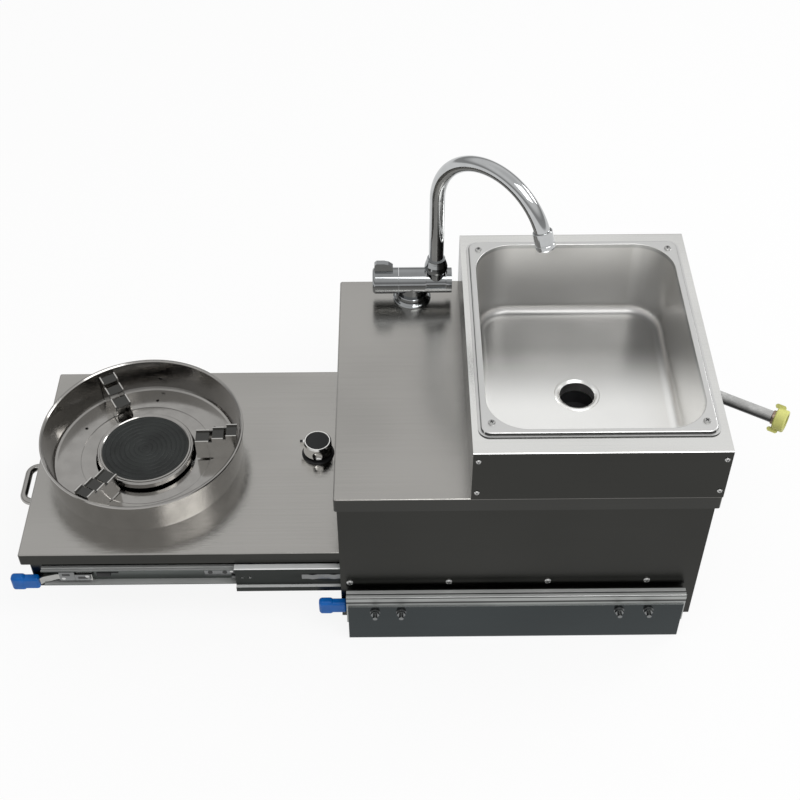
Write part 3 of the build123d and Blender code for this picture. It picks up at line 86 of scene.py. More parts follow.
class Wire:
    """One output socket of a node board, usable in Python expressions."""

    def __init__(self, board: "Board", socket: bpy.types.NodeSocket) -> None:
        """Keep the socket and the board that it is on.

        Args:
            board: Board that new nodes are added to.
            socket: Output socket that carries the value.
        """
        self.board = board
        self.socket = socket

    def _math(self, operation: str, first: Any, second: Any = 0.0) -> "Wire":
        """Add one Math node.

        Args:
            operation: Math operation.
            first: First value or wire.
            second: Second value or wire.

        Returns:
            The wire of the result.
        """
        return self.board.node("ShaderNodeMath", {"operation": operation}, {0: first, 1: second})

    def __add__(self, other: Any) -> "Wire":
        """Sum."""
        return self._math("ADD", self, other)

    __radd__ = __add__

    def __sub__(self, other: Any) -> "Wire":
        """Difference."""
        return self._math("SUBTRACT", self, other)

    def __rsub__(self, other: Any) -> "Wire":
        """Difference with the operands in the other order."""
        return self._math("SUBTRACT", other, self)

    def __mul__(self, other: Any) -> "Wire":
        """Product."""
        return self._math("MULTIPLY", self, other)

    __rmul__ = __mul__

    def __gt__(self, other: Any) -> "Wire":
        """One where the value is greater, otherwise zero."""
        return self._math("GREATER_THAN", self, other)

    def __lt__(self, other: Any) -> "Wire":
        """One where the value is smaller, otherwise zero."""
        return self._math("LESS_THAN", self, other)

    def __abs__(self) -> "Wire":
        """Size of the value without its sign."""
        return self._math("ABSOLUTE", self)

    def sine(self) -> "Wire":
        """Sine of the value."""
        return self._math("SINE", self)

    def ramp(self, low: float, high: float, to_low: float = 0.0, to_high: float = 1.0) -> "Wire":
        """Map the value smoothly from one range to another.

        Args:
            low: Value that gives to_low.
            high: Value that gives to_high.
            to_low: Result at and below low.
            to_high: Result at and above high.

        Returns:
            The wire of the mapped value.
        """
        settings = {"interpolation_type": "SMOOTHSTEP"}
        limits = {1: low, 2: high, 3: to_low, 4: to_high}
        return self.board.node("ShaderNodeMapRange", settings, {0: self, **limits})

    def spread(self, to_low: float, to_high: float) -> "Wire":
        """Map noise from its usual span to another range."""
        return self.ramp(*NOISE_SPAN, to_low, to_high)


class Board:
    """Node board of one material, with its shader already in place."""

    def __init__(self, name: str) -> None:
        """Make an empty material with a principled shader.

        Args:
            name: Name of the material.
        """
        self.material = bpy.data.materials.new(name)
        self.material.use_nodes = True
        self.tree = self.material.node_tree
        self.tree.nodes.clear()
        self.shader = self.tree.nodes.new("ShaderNodeBsdfPrincipled")
        self.output = self.tree.nodes.new("ShaderNodeOutputMaterial")
        self.tree.links.new(self.shader.outputs[0], self.output.inputs["Surface"])

    def node(
        self,
        kind: str,
        settings: Optional[dict[str, Any]] = None,
        sockets: Optional[dict[Any, Any]] = None,
        out: Union[int, str] = 0,
    ) -> Wire:
        """Add a node, set it up and feed its sockets.

        Args:
            kind: Node type.
            settings: Properties of the node, set first; "stops" holds a colour ramp's stops.
            sockets: Values or wires by input name or number.
            out: Output that is returned.

        Returns:
            The wire of the chosen output.
        """
        made = self.tree.nodes.new(kind)
        for key, value in (settings or {}).items():
            if key == "stops":
                self.set_stops(made.color_ramp, value)
            else:
                setattr(made, key, value)
        for key, value in (sockets or {}).items():
            self._feed(made.inputs[key], value)
        return Wire(self, made.outputs[out])

    @staticmethod
    def set_stops(ramp: bpy.types.ColorRamp, stops: Sequence[tuple[float, Colour]]) -> None:
        """Set a colour ramp's stops.

        Args:
            ramp: Ramp to set.
            stops: Place and colour of each stop.
        """
        while len(ramp.elements) < len(stops):
            ramp.elements.new(0.5)
        for element, (place, colour) in zip(ramp.elements, stops):
            element.position = place
            element.color = (*colour, 1.0)

    def _feed(self, socket: bpy.types.NodeSocket, value: Any) -> None:
        """Link a wire to a socket, or set the socket's own value.

        Args:
            socket: Input socket.
            value: Wire, number, colour or vector.
        """
        if isinstance(value, Wire):
            self.tree.links.new(value.socket, socket)
        elif socket.type == "RGBA" and len(value) == 3:
            socket.default_value = (*value, 1.0)
        else:
            socket.default_value = value

    def set(self, **sockets: Any) -> None:
        """Feed the shader's sockets; an underscore in a name stands for a space."""
        for key, value in sockets.items():
            self._feed(self.shader.inputs[key.replace("_", " ")], value)

    def place(self, scale: Sequence[float]) -> Wire:
        """Object coordinates, stretched.

        Args:
            scale: Factor along each axis.

        Returns:
            The wire of the coordinates.
        """
        here = self.node("ShaderNodeTexCoord", out="Object")
        return self.node("ShaderNodeMapping", {}, {"Vector": here, "Scale": tuple(scale)})

    def axis(self, name: str, source: str = "Object") -> Wire:
        """One component of the object coordinates or of the surface normal.

        Args:
            name: X, Y or Z.
            source: Object or Normal.

        Returns:
            The wire of the component.
        """
        here = self.node("ShaderNodeTexCoord", out=source)
        return self.node("ShaderNodeSeparateXYZ", {}, {0: here}, out=name)

    def level(self, low: float, high: float) -> Wire:
        """Zero on upright faces and one on level ones, with a soft step between two slopes."""
        return abs(self.axis("Z", "Normal")).ramp(low, high)

    def noise(
        self, scale: float, stretch: Sequence[float] = (1, 1, 1), detail: float = 3.0
    ) -> Wire:
        """Noise in object coordinates.

        Args:
            scale: Number of cells in a metre.
            stretch: Factor along each axis; a small one draws the noise out.
            detail: Depth of the finer layers.

        Returns:
            The wire of the noise, about 0.5 on average.
        """
        sockets = {"Vector": self.place(stretch), "Scale": scale, "Detail": detail}
        return self.node("ShaderNodeTexNoise", {}, sockets)

    def mix(self, share: Any, first: Any, second: Any) -> Wire:
        """Blend two colours.

        Args:
            share: Part of the second colour.
            first: Colour at share 0.
            second: Colour at share 1.

        Returns:
            The wire of the colour.
        """
        settings = {"data_type": "RGBA"}
        return self.node("ShaderNodeMix", settings, {0: share, 6: first, 7: second}, out=2)

    def bump(self, height: Wire, strength: float, distance: float) -> None:
        """Give the shader's surface a relief.

        Args:
            height: Relief, from 0 to 1.
            strength: Share of the relief that shows.
            distance: Depth in metres.
        """
        sockets = {"Height": height, "Strength": strength, "Distance": distance}
        self.set(Normal=self.node("ShaderNodeBump", {}, sockets))

    def whiten(self, share: float) -> None:
        """Blend the surface with plain white, as the eye and the metal see it.

        Args:
            share: Part of the white.
        """
        seen = self.node("ShaderNodeLightPath", out="Is Camera Ray")
        for ray in ("Is Glossy Ray", "Is Transmission Ray"):
            seen = seen + self.node("ShaderNodeLightPath", out=ray)
        layers = {1: Wire(self, self.shader.outputs[0]), 2: self.node("ShaderNodeEmission")}
        blend = self.node("ShaderNodeMixShader", {}, {0: seen * share, **layers})
        self.tree.links.new(blend.socket, self.output.inputs["Surface"])


def shade(colour: Colour, factor: float) -> Colour:
    """A colour made lighter or darker.

    Args:
        colour: Linear colour.
        factor: Factor on each channel.

    Returns:
        The new colour.
    """
    return tuple(min(1.0, channel * factor) for channel in colour)


@dataclass(frozen=True)
class BrushedSheet:
    """Brushed stainless sheet with fine drawn-out grain.

    Upright faces are painted darker than level ones, painted shade and reflection, most of all on
    the user's side.
    """

    name: str
    top: Colour
    upright: Colour
    grain: Grain = Grain.ALONG_X
    rough: float = 0.225
    depth: float = 0.09
    rough_span: float = 0.03
    far_side: float = 2.6
    dull: float = 0.86
    far_dull: float = 0.6
    streaks: float = 0.2

    def material(self) -> bpy.types.Material:
        """The node material of the finish."""
        board = Board(self.name)
        fine = board.noise(2600.0, self.grain.value, 1.0)
        streak = board.noise(420.0, self.grain.value)
        cloud = board.noise(4.0, detail=2.0)
        level = board.level(0.3, 0.8)
        # Painted light and shade: level faces take the top colour, upright faces the dark upright
        # colour, lifted on faces turned away from the user.
        away = board.axis("X", "Normal").ramp(0.3, 0.8) + board.axis("Y", "Normal").ramp(0.3, 0.8)
        far = shade(self.upright, self.far_side)
        clean = board.mix(level, board.mix(away, self.upright, far), self.top)
        side = board.mix(away, shade(self.upright, self.dull), shade(far, self.far_dull))
        dull = board.mix(level, side, shade(self.top, self.dull))
        worn = streak * self.streaks + cloud * (1.0 - self.streaks)
        board.set(Base_Color=board.mix(worn.spread(0.0, 1.0), clean, dull), Metallic=1.0)
        smooth, matt = self.rough - self.rough_span, self.rough + self.rough_span
        board.set(Roughness=cloud.spread(smooth, matt))
        board.bump(fine, strength=self.depth, distance=0.0003)
        return board.material


@dataclass(frozen=True)
class DrawnBowl:
    """Satin drawn bowl, whose lowest and highest corners are given.

    Its pale rim has a skirt darkened by painted shade, and its floor has painted light: bright near
    the user, darker towards the rear.
    """

    name: str
    rim: Colour
    wall: Colour
    floor: Colour
    low: Vector
    high: Vector
    rim_depth: float = 0.006
    rim_blend: float = 0.001
    rough: float = 0.29
    rough_span: float = 0.06
    skirt: float = 0.08
    worn_wall: float = 0.7
    far_floor: float = 0.17
    floor_fade: tuple[float, float] = (-0.03, 0.1)

    def material(self) -> bpy.types.Material:
        """The node material of the finish."""
        board = Board(self.name)
        cloud = board.noise(6.0, detail=2.0)
        # Painted light: the floor darkens from the user's side towards the rear.
        far = board.axis("Y").ramp(*self.floor_fade)
        floor = board.mix(far, self.floor, shade(self.floor, self.far_floor))
        inside = board.mix(board.level(0.35, 0.9), self.wall, floor)
        wear = cloud.ramp(0.35, 0.7, 0.0, 0.14)
        worn = board.mix(wear, inside, shade(self.wall, self.worn_wall))
        rim_height = self.high.z - self.rim_depth
        on_rim = board.axis("Z").ramp(rim_height - self.rim_blend, rim_height + self.rim_blend)
        middle = (self.low + self.high) / 2
        reach = (self.high - self.low) / 2
        # Painted shade on the rim's upright outer skirt.
        across = abs(board.axis("X") - middle.x) > reach.x - self.rim_depth
        along = abs(board.axis("Y") - middle.y) > reach.y - self.rim_depth
        on_skirt = (across + along).ramp(0.0, 1.0) * (1.0 - board.level(0.5, 0.9))
        rim = board.mix(on_skirt, self.rim, shade(self.rim, self.skirt))
        board.set(Base_Color=board.mix(on_rim, worn, rim), Metallic=1.0)
        board.set(Roughness=cloud.spread(self.rough, self.rough + self.rough_span))
        return board.material


@dataclass(frozen=True)
class PlatedRail:
    """Zinc plated rail with fine rolling lines: painted light and shade make ledges bright and
    upright faces darker.

    The grooves are dark bands of painted shade along the rail, each given by its height and half
    its width.
    """

    name: str
    ledge: Colour
    upright: Colour
    grooves: tuple[tuple[float, float], ...] = ()
    groove_shade: float = 0.15
    dull: float = 0.75
    rough: float = 0.34
    metal: float = 0.9
    ledge_metal: float = 0.3

    def material(self) -> bpy.types.Material:
        """The node material of the finish."""
        board = Board(self.name)
        roll = board.noise(900.0, Grain.ALONG_X.value, 2.0)
        bloom = board.noise(40.0, (0.3, 1, 1))
        level = board.level(0.2, 0.6)
        # Painted light and shade: level ledges take the bright ledge colour, upright faces the
        # darker upright colour.
        clean = board.mix(level, self.upright, self.ledge)
        dull = board.mix(level, shade(self.upright, self.dull), shade(self.ledge, self.dull))
        colour = board.mix(bloom.ramp(0.35, 0.75, 0.0, 0.6), clean, dull)
        # Painted shade in each rolled groove: a dark band at its height.
        for height, half in self.grooves:
            near = abs(board.axis("Z") - height).ramp(0.6 * half, half, 1.0, 0.0)
            colour = board.mix(near, colour, shade(self.upright, self.groove_shade))
        board.set(Base_Color=colour, Metallic=self.metal - level * (self.metal - self.ledge_metal))
        board.set(Roughness=bloom.spread(self.rough - 0.05, self.rough + 0.08))
        board.bump(roll, strength=0.05, distance=0.0003)
        return board.material


@dataclass(frozen=True)
class SmoothMetal:
    """Plain or polished metal with faint marks, pitted or without a pit."""

    name: str
    colour: Colour
    rough: float
    marks: float = 0.05
    pitted: bool = True
    smeared: float = 0.8

    def material(self) -> bpy.types.Material:
        """The node material of the finish."""
        board = Board(self.name)
        smear = board.noise(60.0, detail=4.0)
        share = smear.ramp(0.35, 0.7, 0.0, 0.35)
        board.set(Base_Color=board.mix(share, self.colour, shade(self.colour, self.smeared)))
        board.set(Metallic=1.0, Roughness=smear.spread(self.rough, self.rough + self.marks))
        if self.pitted:
            board.bump(board.noise(900.0, detail=2.0), strength=0.02, distance=0.0002)
        return board.material


@dataclass(frozen=True)
class SteppedSteel:
    """Polished pot support: treads painted dark, a painted reflection, set down between the bright
    edges of the fins.
    """

    name: str
    fin: Colour
    tread: Colour
    fin_top: float
    step: float = 0.005
    rough: float = 0.12

    def material(self) -> bpy.types.Material:
        """The node material of the finish."""
        board = Board(self.name)
        smear = board.noise(60.0)
        rise = (board.axis("Z") - (self.fin_top - self.step / 4)) * (math.tau / self.step)
        # Painted reflection: up-facing faces in every other band of the steps take the dark tread
        # colour.
        on_tread = board.axis("Z", "Normal").ramp(0.6, 0.9) * (rise.sine() < 0.0)
        board.set(Base_Color=board.mix(on_tread, self.fin, self.tread), Metallic=1.0)
        board.set(Roughness=smear.spread(self.rough, self.rough + 0.08))
        return board.material


@dataclass(frozen=True)
class Moulded:
    """Moulded plastic or rubber with a fine skin."""

    name: str
    colour: Colour
    rough: float
    skin: float = 1400.0
    shades: tuple[float, float] = (0.86, 1.1)

    def material(self) -> bpy.types.Material:
        """The node material of the finish."""
        board = Board(self.name)
        cloud = board.noise(45.0)
        skin = board.noise(self.skin, detail=2.0)
        dark, light = [shade(self.colour, factor) for factor in self.shades]
        board.set(Base_Color=board.mix(cloud.ramp(0.35, 0.7), dark, light))
        board.set(Roughness=cloud.spread(self.rough - 0.06, self.rough + 0.08))
        board.set(Specular_IOR_Level=0.3)
        board.bump(skin, strength=0.12, distance=0.0003)
        return board.material


@dataclass(frozen=True)
class BurnerBlack:
    """Dark cast burner metal with patches of soot."""

    name: str
    colour: Colour

    def material(self) -> bpy.types.Material:
        """The node material of the finish."""
        board = Board(self.name)
        cast = board.noise(700.0, detail=4.0)
        soot = board.noise(30.0)
        board.set(Base_Color=board.mix(soot.ramp(0.35, 0.7), self.colour, shade(self.colour, 0.6)))
        board.set(Metallic=0.35, Roughness=cast.spread(0.48, 0.62))
        board.bump(cast, strength=0.12, distance=0.0004)
        return board.material


@dataclass(frozen=True)
class KnobFinish:
    """Chromed knob with a dark dish inside its bright rim, and a dark pointer outside it."""

    name: str
    skirt: Colour
    top: Colour
    centre: tuple[float, float]
    dish: float = 0.0159
    edge: float = 0.0196

    def material(self) -> bpy.types.Material:
        """The node material of the finish."""
        board = Board(self.name)
        x = board.axis("X") - self.centre[0]
        y = board.axis("Y") - self.centre[1]
        square = x * x + y * y
        dark = (square < self.dish**2) + (square > self.edge**2)
        up = board.axis("Z", "Normal").ramp(0.9, 0.98) * dark
        smear = board.noise(90.0)
        board.set(Base_Color=board.mix(up, self.skirt, self.top))
        board.set(Metallic=1.0 - up * 0.7, Roughness=0.14 + up * 0.25 + smear * 0.06)
        return board.material


@dataclass(frozen=True)
class HoseJacket:
    """Grey rubber hose jacket with a faintly pitted skin, darkened underneath by painted shade."""

    name: str
    colour: Colour
    grime: Colour
    shades: tuple[float, float] = (0.82, 1.12)

    def material(self) -> bpy.types.Material:
        """The node material of the finish."""
        board = Board(self.name)
        cloud = board.noise(70.0)
        pits = board.noise(1100.0, detail=2.0)
        dark, light = [shade(self.colour, factor) for factor in self.shades]
        clean = board.mix(cloud.ramp(0.35, 0.7), dark, light)
        # Painted shade: the underside takes the dark colour, the top the clean grey.
        above = board.axis("Z", "Normal").ramp(0.0, 0.95)
        board.set(Base_Color=board.mix(above, self.grime, clean))
        board.set(Roughness=cloud.spread(0.2, 0.26))
        board.bump(pits, strength=0.15, distance=0.0005)
        return board.material


class Finishes:
    """The finishes of the kitchen, each made once."""

    def __init__(self) -> None:
        """Make every material."""
        steel = (0.42, 0.41, 0.39)
        # Painted shade: front and the second colours of the brushed sheets below are the dark
        # colours of their upright faces.
        front = (0.038, 0.038, 0.035)
        pale = (0.82, 0.82, 0.80)
        fin_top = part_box("pot_supports")[1].z
        stem = (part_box("valve_stem")[0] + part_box("valve_stem")[1]) / 2
        rail_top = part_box("cab_outer_front")[1].z
        grooves = tuple((rail_top - drop, half) for drop, half in RAIL_GROOVES)
        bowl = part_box("sink_bowl")
        kinds = (
            BrushedSheet("brushed_steel_x", steel, front),
            BrushedSheet("brushed_steel_y", steel, front, Grain.ALONG_Y),
            BrushedSheet("counter_steel", steel, (0.050, 0.050, 0.047)),
            BrushedSheet("plate_steel", steel, front, rough=0.15, depth=0.22),
            BrushedSheet("hood_steel", pale, front),
            BrushedSheet("base_steel", (0.30, 0.31, 0.31), (0.042, 0.049, 0.051)),
            DrawnBowl(
                "satin_bowl", (0.70, 0.70, 0.69), (0.93, 0.92, 0.90), (0.98, 0.98, 0.96), *bowl
            ),
            SmoothMetal("polished_steel", (0.36, 0.35, 0.335), 0.11, 0.08, pitted=False),
            SteppedSteel("support_steel", (0.55, 0.54, 0.52), (0.07, 0.07, 0.067), fin_top),
            SmoothMetal("dark_polish", (0.14, 0.137, 0.13), 0.14, 0.1),
            SmoothMetal("tap_chrome", (0.52, 0.53, 0.535), 0.04, 0.03, pitted=False),
            # Painted shade: a darker copy of the tap chrome for the body, handle and knuckle.
            SmoothMetal("body_chrome", (0.32, 0.33, 0.335), 0.04, 0.03, pitted=False),
            PlatedRail("zinc_rail", (0.50, 0.505, 0.495), (0.32, 0.33, 0.32)),
            PlatedRail("ribbed_rail", (0.46, 0.47, 0.46), (0.36, 0.37, 0.36), grooves),
            PlatedRail("drawer_rail", (0.48, 0.49, 0.48), (0.115, 0.125, 0.12)),
            # Painted light and shadow: bright ledges and near black upright faces, shaded under the
            # stove plate.
            PlatedRail("runner_rail", (0.80, 0.81, 0.80), (0.024, 0.027, 0.025)),
            SmoothMetal("lock_steel", (0.38, 0.38, 0.365), 0.16, 0.1),
            SmoothMetal("screw_steel", (0.55, 0.55, 0.54), 0.16, 0.1),
            SmoothMetal("bolt_steel", (0.20, 0.205, 0.205), 0.16, 0.1),
            SmoothMetal("brass", (0.50, 0.36, 0.19), 0.29, 0.1),
            SmoothMetal("dull_brass", (0.36, 0.27, 0.21), 0.36, 0.12),
            SmoothMetal("cast_aluminium", (0.58, 0.58, 0.57), 0.38, 0.12),
            Moulded("grip_blue", (0.0, 0.112, 0.43), 0.40),
            Moulded("nut_yellow", (0.60, 0.60, 0.19), 0.4),
            Moulded("black_rubber", (0.022, 0.022, 0.023), 0.6, 700.0),
            Moulded("black_plastic", (0.02, 0.02, 0.021), 0.42),
            # Painted shade: dark marks for screw recesses, holes and slots.
            Moulded("recess_dark", (0.06, 0.06, 0.06), 0.6),
            BurnerBlack("burner_iron", (0.024, 0.027, 0.026)),
            KnobFinish("knob_metal", (0.88, 0.87, 0.85), (0.014, 0.015, 0.016), (stem.x, stem.y)),
            # The hose's second colour is painted shade for its underside.
            HoseJacket("hose_grey", (0.52, 0.52, 0.51), (0.035, 0.035, 0.035)),
        )
        self.made = {kind.name: kind.material() for kind in kinds}

    def __getitem__(self, name: str) -> bpy.types.Material:
        """The material of that name."""
        return self.made[name]


class Shape:
    """A mesh under construction."""

    TURN_STEPS = 20
    COIL_STEPS = 16
    WIRE_SIDES = 8
    SHARP_ANGLE = math.radians(35.0)

    def __init__(self) -> None:
        """Start with an empty mesh."""
        self.mesh = bmesh.new()

    def block(self, low: Sequence[float], high: Sequence[float], round_by: float = 0.0) -> "Shape":
        """Add a box with rounded edges.

        Args:
            low: Lowest corner.
            high: Highest corner.
            round_by: Width of the rounded edges.

        Returns:
            The same shape.
        """
        a, b = Vector(low), Vector(high)
        place = Matrix.Translation((a + b) / 2) @ Matrix.Diagonal((*(b - a), 1.0))
        verts = bmesh.ops.create_cube(self.mesh, size=1.0, matrix=place)["verts"]
        if round_by:
            edges = dict.fromkeys(edge for vert in verts for edge in vert.link_edges)
            bmesh.ops.bevel(
                self.mesh,
                geom=list(edges),
                offset=round_by,
                segments=3,
                profile=0.5,
                affect="EDGES",
                material=-1,
            )
        return self

    def turned(self, line: Iterable[tuple[float, float]], place: Matrix) -> "Shape":
        """Add a turned form about the place's Z axis.

        Args:
            line: Radius and height of each point, from one end to the other.
            place: Where the form stands.

        Returns:
            The same shape.
        """
        part = bmesh.new()
        verts = [part.verts.new((radius, 0.0, height)) for radius, height in line]
        edges = [part.edges.new(pair) for pair in zip(verts, verts[1:])]
        bmesh.ops.spin(
            part,
            geom=verts + edges,
            axis=(0, 0, 1),
            cent=(0, 0, 0),
            angle=math.tau,
            steps=self.TURN_STEPS,
            use_merge=True,
        )
        bmesh.ops.remove_doubles(part, verts=part.verts[:], dist=1e-6)
        bmesh.ops.recalc_face_normals(part, faces=part.faces[:])
        part.transform(place)
        return self.join(part)

    def coil(
        self, radius: float, wire: float, pitch: float, turns: float, place: Matrix
    ) -> "Shape":
        """Add a wound spring about the place's Z axis.

        Args:
            radius: Radius of the winding.
            wire: Radius of the wire.
            pitch: Height of one turn.
            turns: Number of turns.
            place: Where the spring starts.

        Returns:
            The same shape.
        """
        part = bmesh.new()
        upright = Matrix.Translation((radius, 0, 0)) @ Matrix.Rotation(math.pi / 2, 4, "X")
        sides = self.WIRE_SIDES
        bmesh.ops.create_circle(part, cap_ends=False, radius=wire, segments=sides, matrix=upright)
        steps = int(self.COIL_STEPS * turns)
        bmesh.ops.spin(
            part,
            geom=part.verts[:] + part.edges[:],
            axis=(0, 0, 1),
            cent=(0, 0, 0),
            dvec=(0, 0, pitch * turns / steps),
            angle=math.tau * turns,
            steps=steps,
        )
        bmesh.ops.holes_fill(part, edges=part.edges[:], sides=sides)
        bmesh.ops.recalc_face_normals(part, faces=part.faces[:])
        part.transform(place)
        return self.join(part)

    def join(self, part: bmesh.types.BMesh) -> "Shape":
        """Add another mesh and free it.

        Args:
            part: Mesh to add.

        Returns:
            The same shape.
        """
        holder = bpy.data.meshes.new("part")
        part.to_mesh(holder)
        part.free()
        self.mesh.from_mesh(holder)
        bpy.data.meshes.remove(holder)
        return self

    def piece(self, name: str, material: bpy.types.Material, body: str, slot: str) -> None:
        """Turn the mesh into a piece that rides on a body.

        Args:
            name: Name of the piece.
            material: Its material.
            body: Body that it moves with.
            slot: Name of a material slot; not used.
        """
        data = bpy.data.meshes.new(name)
        self.mesh.to_mesh(data)
        self.mesh.free()
        data.polygons.foreach_set("use_smooth", [True] * len(data.polygons))
        data.set_sharp_from_angle(angle=self.SHARP_ANGLE)
        data.materials.append(material)
        made = bpy.data.objects.new(name, data)
        bpy.context.scene.collection.objects.link(made)
        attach(made, body)
        LOG.info("piece %s rides on %s", name, body)


def dress(material: bpy.types.Material, *nodes: str) -> None:
    """Give CAD nodes a material.

    Args:
        material: Material to give.
        nodes: Names of the nodes.
    """
    for name in nodes:
        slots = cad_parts[name].data.materials
        slots.clear()
        slots.append(material)
        LOG.info("node %s is %s", name, material.name)


def facing(point: Sequence[float], direction: Sequence[float]) -> Matrix:
    """A place whose Z axis points along a direction.

    Args:
        point: Origin of the place.
        direction: Direction of its Z axis.

    Returns:
        The place as a matrix.
    """
    turn = Vector(direction).to_track_quat("Z", "Y").to_matrix().to_4x4()
    return Matrix.Translation(Vector(point)) @ turn


@dataclass
class Screws:
    """Dark crosses of painted shade for the recesses in the pan heads of one group of screws."""

    name: str
    body: str
    slot: str
    points: Sequence[Sequence[float]]
    direction: Sequence[float]
    head_radius: float
    head_height: float
    cross: float = 0.55
    arm: float = 0.13
    depth: float = 0.0003
    first_turn: float = 20.0
    next_turn: float = 50.0

    def build(self, finishes: Finishes) -> None:
        """Make the dark marks of painted shade for the recesses of every screw in the group.

        Args:
            finishes: The kitchen's finishes.
        """
        shape = Shape()
        reach = self.head_radius * self.cross
        width = self.head_radius * self.arm
        lift = Matrix.Translation((0, 0, self.head_height))
        for index, point in enumerate(self.points):
            angle = math.radians(self.first_turn + self.next_turn * index)
            part = bmesh.new()
            for long_x, long_y in ((reach, width), (width, reach)):
                size = Matrix.Diagonal((2 * long_x, 2 * long_y, self.depth, 1.0))
                bmesh.ops.create_cube(part, size=1.0, matrix=lift @ size)
            part.transform(facing(point, self.direction) @ Matrix.Rotation(angle, 4, "Z"))
            shape.join(part)
        shape.piece(self.name, finishes["recess_dark"], self.body, self.slot)


@dataclass
class Cabinet:
    """Base pan, cabinet sheets and sink box; each screw head has a radius and a height."""

    screw_columns: tuple[float, ...] = (-0.215, -0.087, 0.041, 0.169)
    screw_line: float = 0.0965
    rear_columns: tuple[float, ...] = (-0.189, -0.061, 0.067, 0.195)
    rear_line: float = 0.1315
    box_columns: tuple[float, float] = (-0.0585, 0.2305)
    box_rows: tuple[float, float] = (0.2845, 0.340)
    rim_step_x: float = 0.1265
    rim_step_y: float = 0.1585
    sink_x: float = 0.085
    sink_y: float = 0.003
    rim_head: tuple[float, float] = (0.0046, 0.0026)
    box_head: tuple[float, float] = (0.0032, 0.0019)
    slide_head: tuple[float, float] = (0.0044, 0.0025)

    def build(self, finishes: Finishes) -> None:
        """Dress the sheets and make the painted shade of the screw recesses.

        Args:
            finishes: The kitchen's finishes.
        """
        dress(finishes["brushed_steel_x"], "front_panel", "rear_panel")
        dress(finishes["brushed_steel_x"], "cabinet_floor", "rear_spacer")
        dress(finishes["counter_steel"], "counter_top")
        dress(finishes["hood_steel"], "sink_hood")
        dress(finishes["brushed_steel_y"], "end_panel", "sink_box_ends")
        dress(finishes["base_steel"], "base_pan")
        dress(finishes["satin_bowl"], "sink_bowl", "drain_flange")
        dress(finishes["screw_steel"], "slide_screws", "sink_box_screws", "sink_rim_screws")
        dress(finishes["bolt_steel"], "base_bolts")
        dress(finishes["black_rubber"], "drain_gasket")
        dress(finishes["black_plastic"], "drain_cup")
        self.screws(finishes)

    def screws(self, finishes: Finishes) -> None:
        """Make the dark marks of painted shade for the recesses of the visible screw heads.

        Args:
            finishes: The kitchen's finishes.
        """
        rim_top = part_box("sink_bowl")[1].z
        rim = [
            (self.sink_x + x, self.sink_y + y, rim_top)
            for x in (-self.rim_step_x, self.rim_step_x)
            for y in (-self.rim_step_y, self.rim_step_y)
        ]
        low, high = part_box("sink_hood")
        box_front = [(x, low.y, z) for x in self.box_columns for z in self.box_rows]
        box_rear = [(x, high.y, z) for x, _, z in box_front]
        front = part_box("front_panel")[0].y
        slide_front = [(x, front, self.screw_line) for x in self.screw_columns]
        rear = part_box("rear_panel")[1].y
        slide_rear = [(x, rear, self.rear_line) for x in self.rear_columns]
        groups = (
            ("rim_recesses", rim, (0, 0, 1), self.rim_head),
            ("box_recesses_front", box_front, (0, -1, 0), self.box_head),
            ("box_recesses_rear", box_rear, (0, 1, 0), self.box_head),
            ("slide_recesses_front", slide_front, (0, -1, 0), self.slide_head),
            ("slide_recesses_rear", slide_rear, (0, 1, 0), self.slide_head),
        )
        for name, points, out, head in groups:
            Screws(name, "cabinet", "steel_fixings", points, out, *head).build(finishes)


@dataclass
class Tap:
    """Folding chrome tap."""

    def build(self, finishes: Finishes) -> None:
        """Dress the tap's pieces.

        Args:
            finishes: The kitchen's finishes.
        """
        dress(finishes["tap_chrome"], "spout_tube", "aerator")
        dress(finishes["body_chrome"], "tap_body", "tap_handle", "spout_knuckle")
        dress(finishes["brass"], "tap_lock_nut")


@dataclass
class StoveDrawer:
    """Stove drawer with its burner, wind bowl and knob."""

    def build(self, finishes: Finishes) -> None:
        """Dress the drawer's pieces.

        Args:
            finishes: The kitchen's finishes.
        """
        dress(finishes["plate_steel"], "stove_plate")
        dress(finishes["brushed_steel_x"], "stove_tray")
        dress(finishes["polished_steel"], "wind_bowl", "burner_ring", "stove_handle")
        dress(finishes["support_steel"], "pot_supports")
        dress(finishes["dark_polish"], "burner_cup")
        dress(finishes["burner_iron"], "burner_disc")
        dress(finishes["cast_aluminium"], "mixing_tube")
        dress(finishes["brass"], "gas_valve", "valve_stem")
        dress(finishes["black_plastic"], "knob_bezel")
        dress(finishes["knob_metal"], "control_knob")


@dataclass(frozen=True)
class RailSeat:
    """Where lock parts sit in a rail: its left end, web, Y way out and middle height."""

    end: float
    web: float
    out: int
    middle: float

    def point(self, along: float, deep: float, high: float) -> Vector:
        """A point given from the rail's end, web and middle."""
        return Vector((self.end + along, self.web + self.out * deep, self.middle + high))

    def outward(self, along: float, deep: float, high: float) -> Matrix:
        """A place at such a point, whose Z axis points out of the rail."""
        return facing(self.point(along, deep, high), (0, self.out, 0))

    def block(
        self,
        shape: Shape,
        along: tuple[float, float],
        deep: tuple[float, float],
        high: tuple[float, float],
        round_by: float = 0.0006,
    ) -> None:
        """Add a small block with rounded edges.

        Args:
            shape: Shape to add to.
            along: Limits from the rail's end.
            deep: Limits out of the rail's web.
            high: Limits from the rail's middle height.
            round_by: Width of the rounded edges.
        """
        first, last = [self.point(*limits) for limits in zip(along, deep, high)]
        low = [min(pair) for pair in zip(first, last)]
        shape.block(low, [max(pair) for pair in zip(first, last)], round_by)


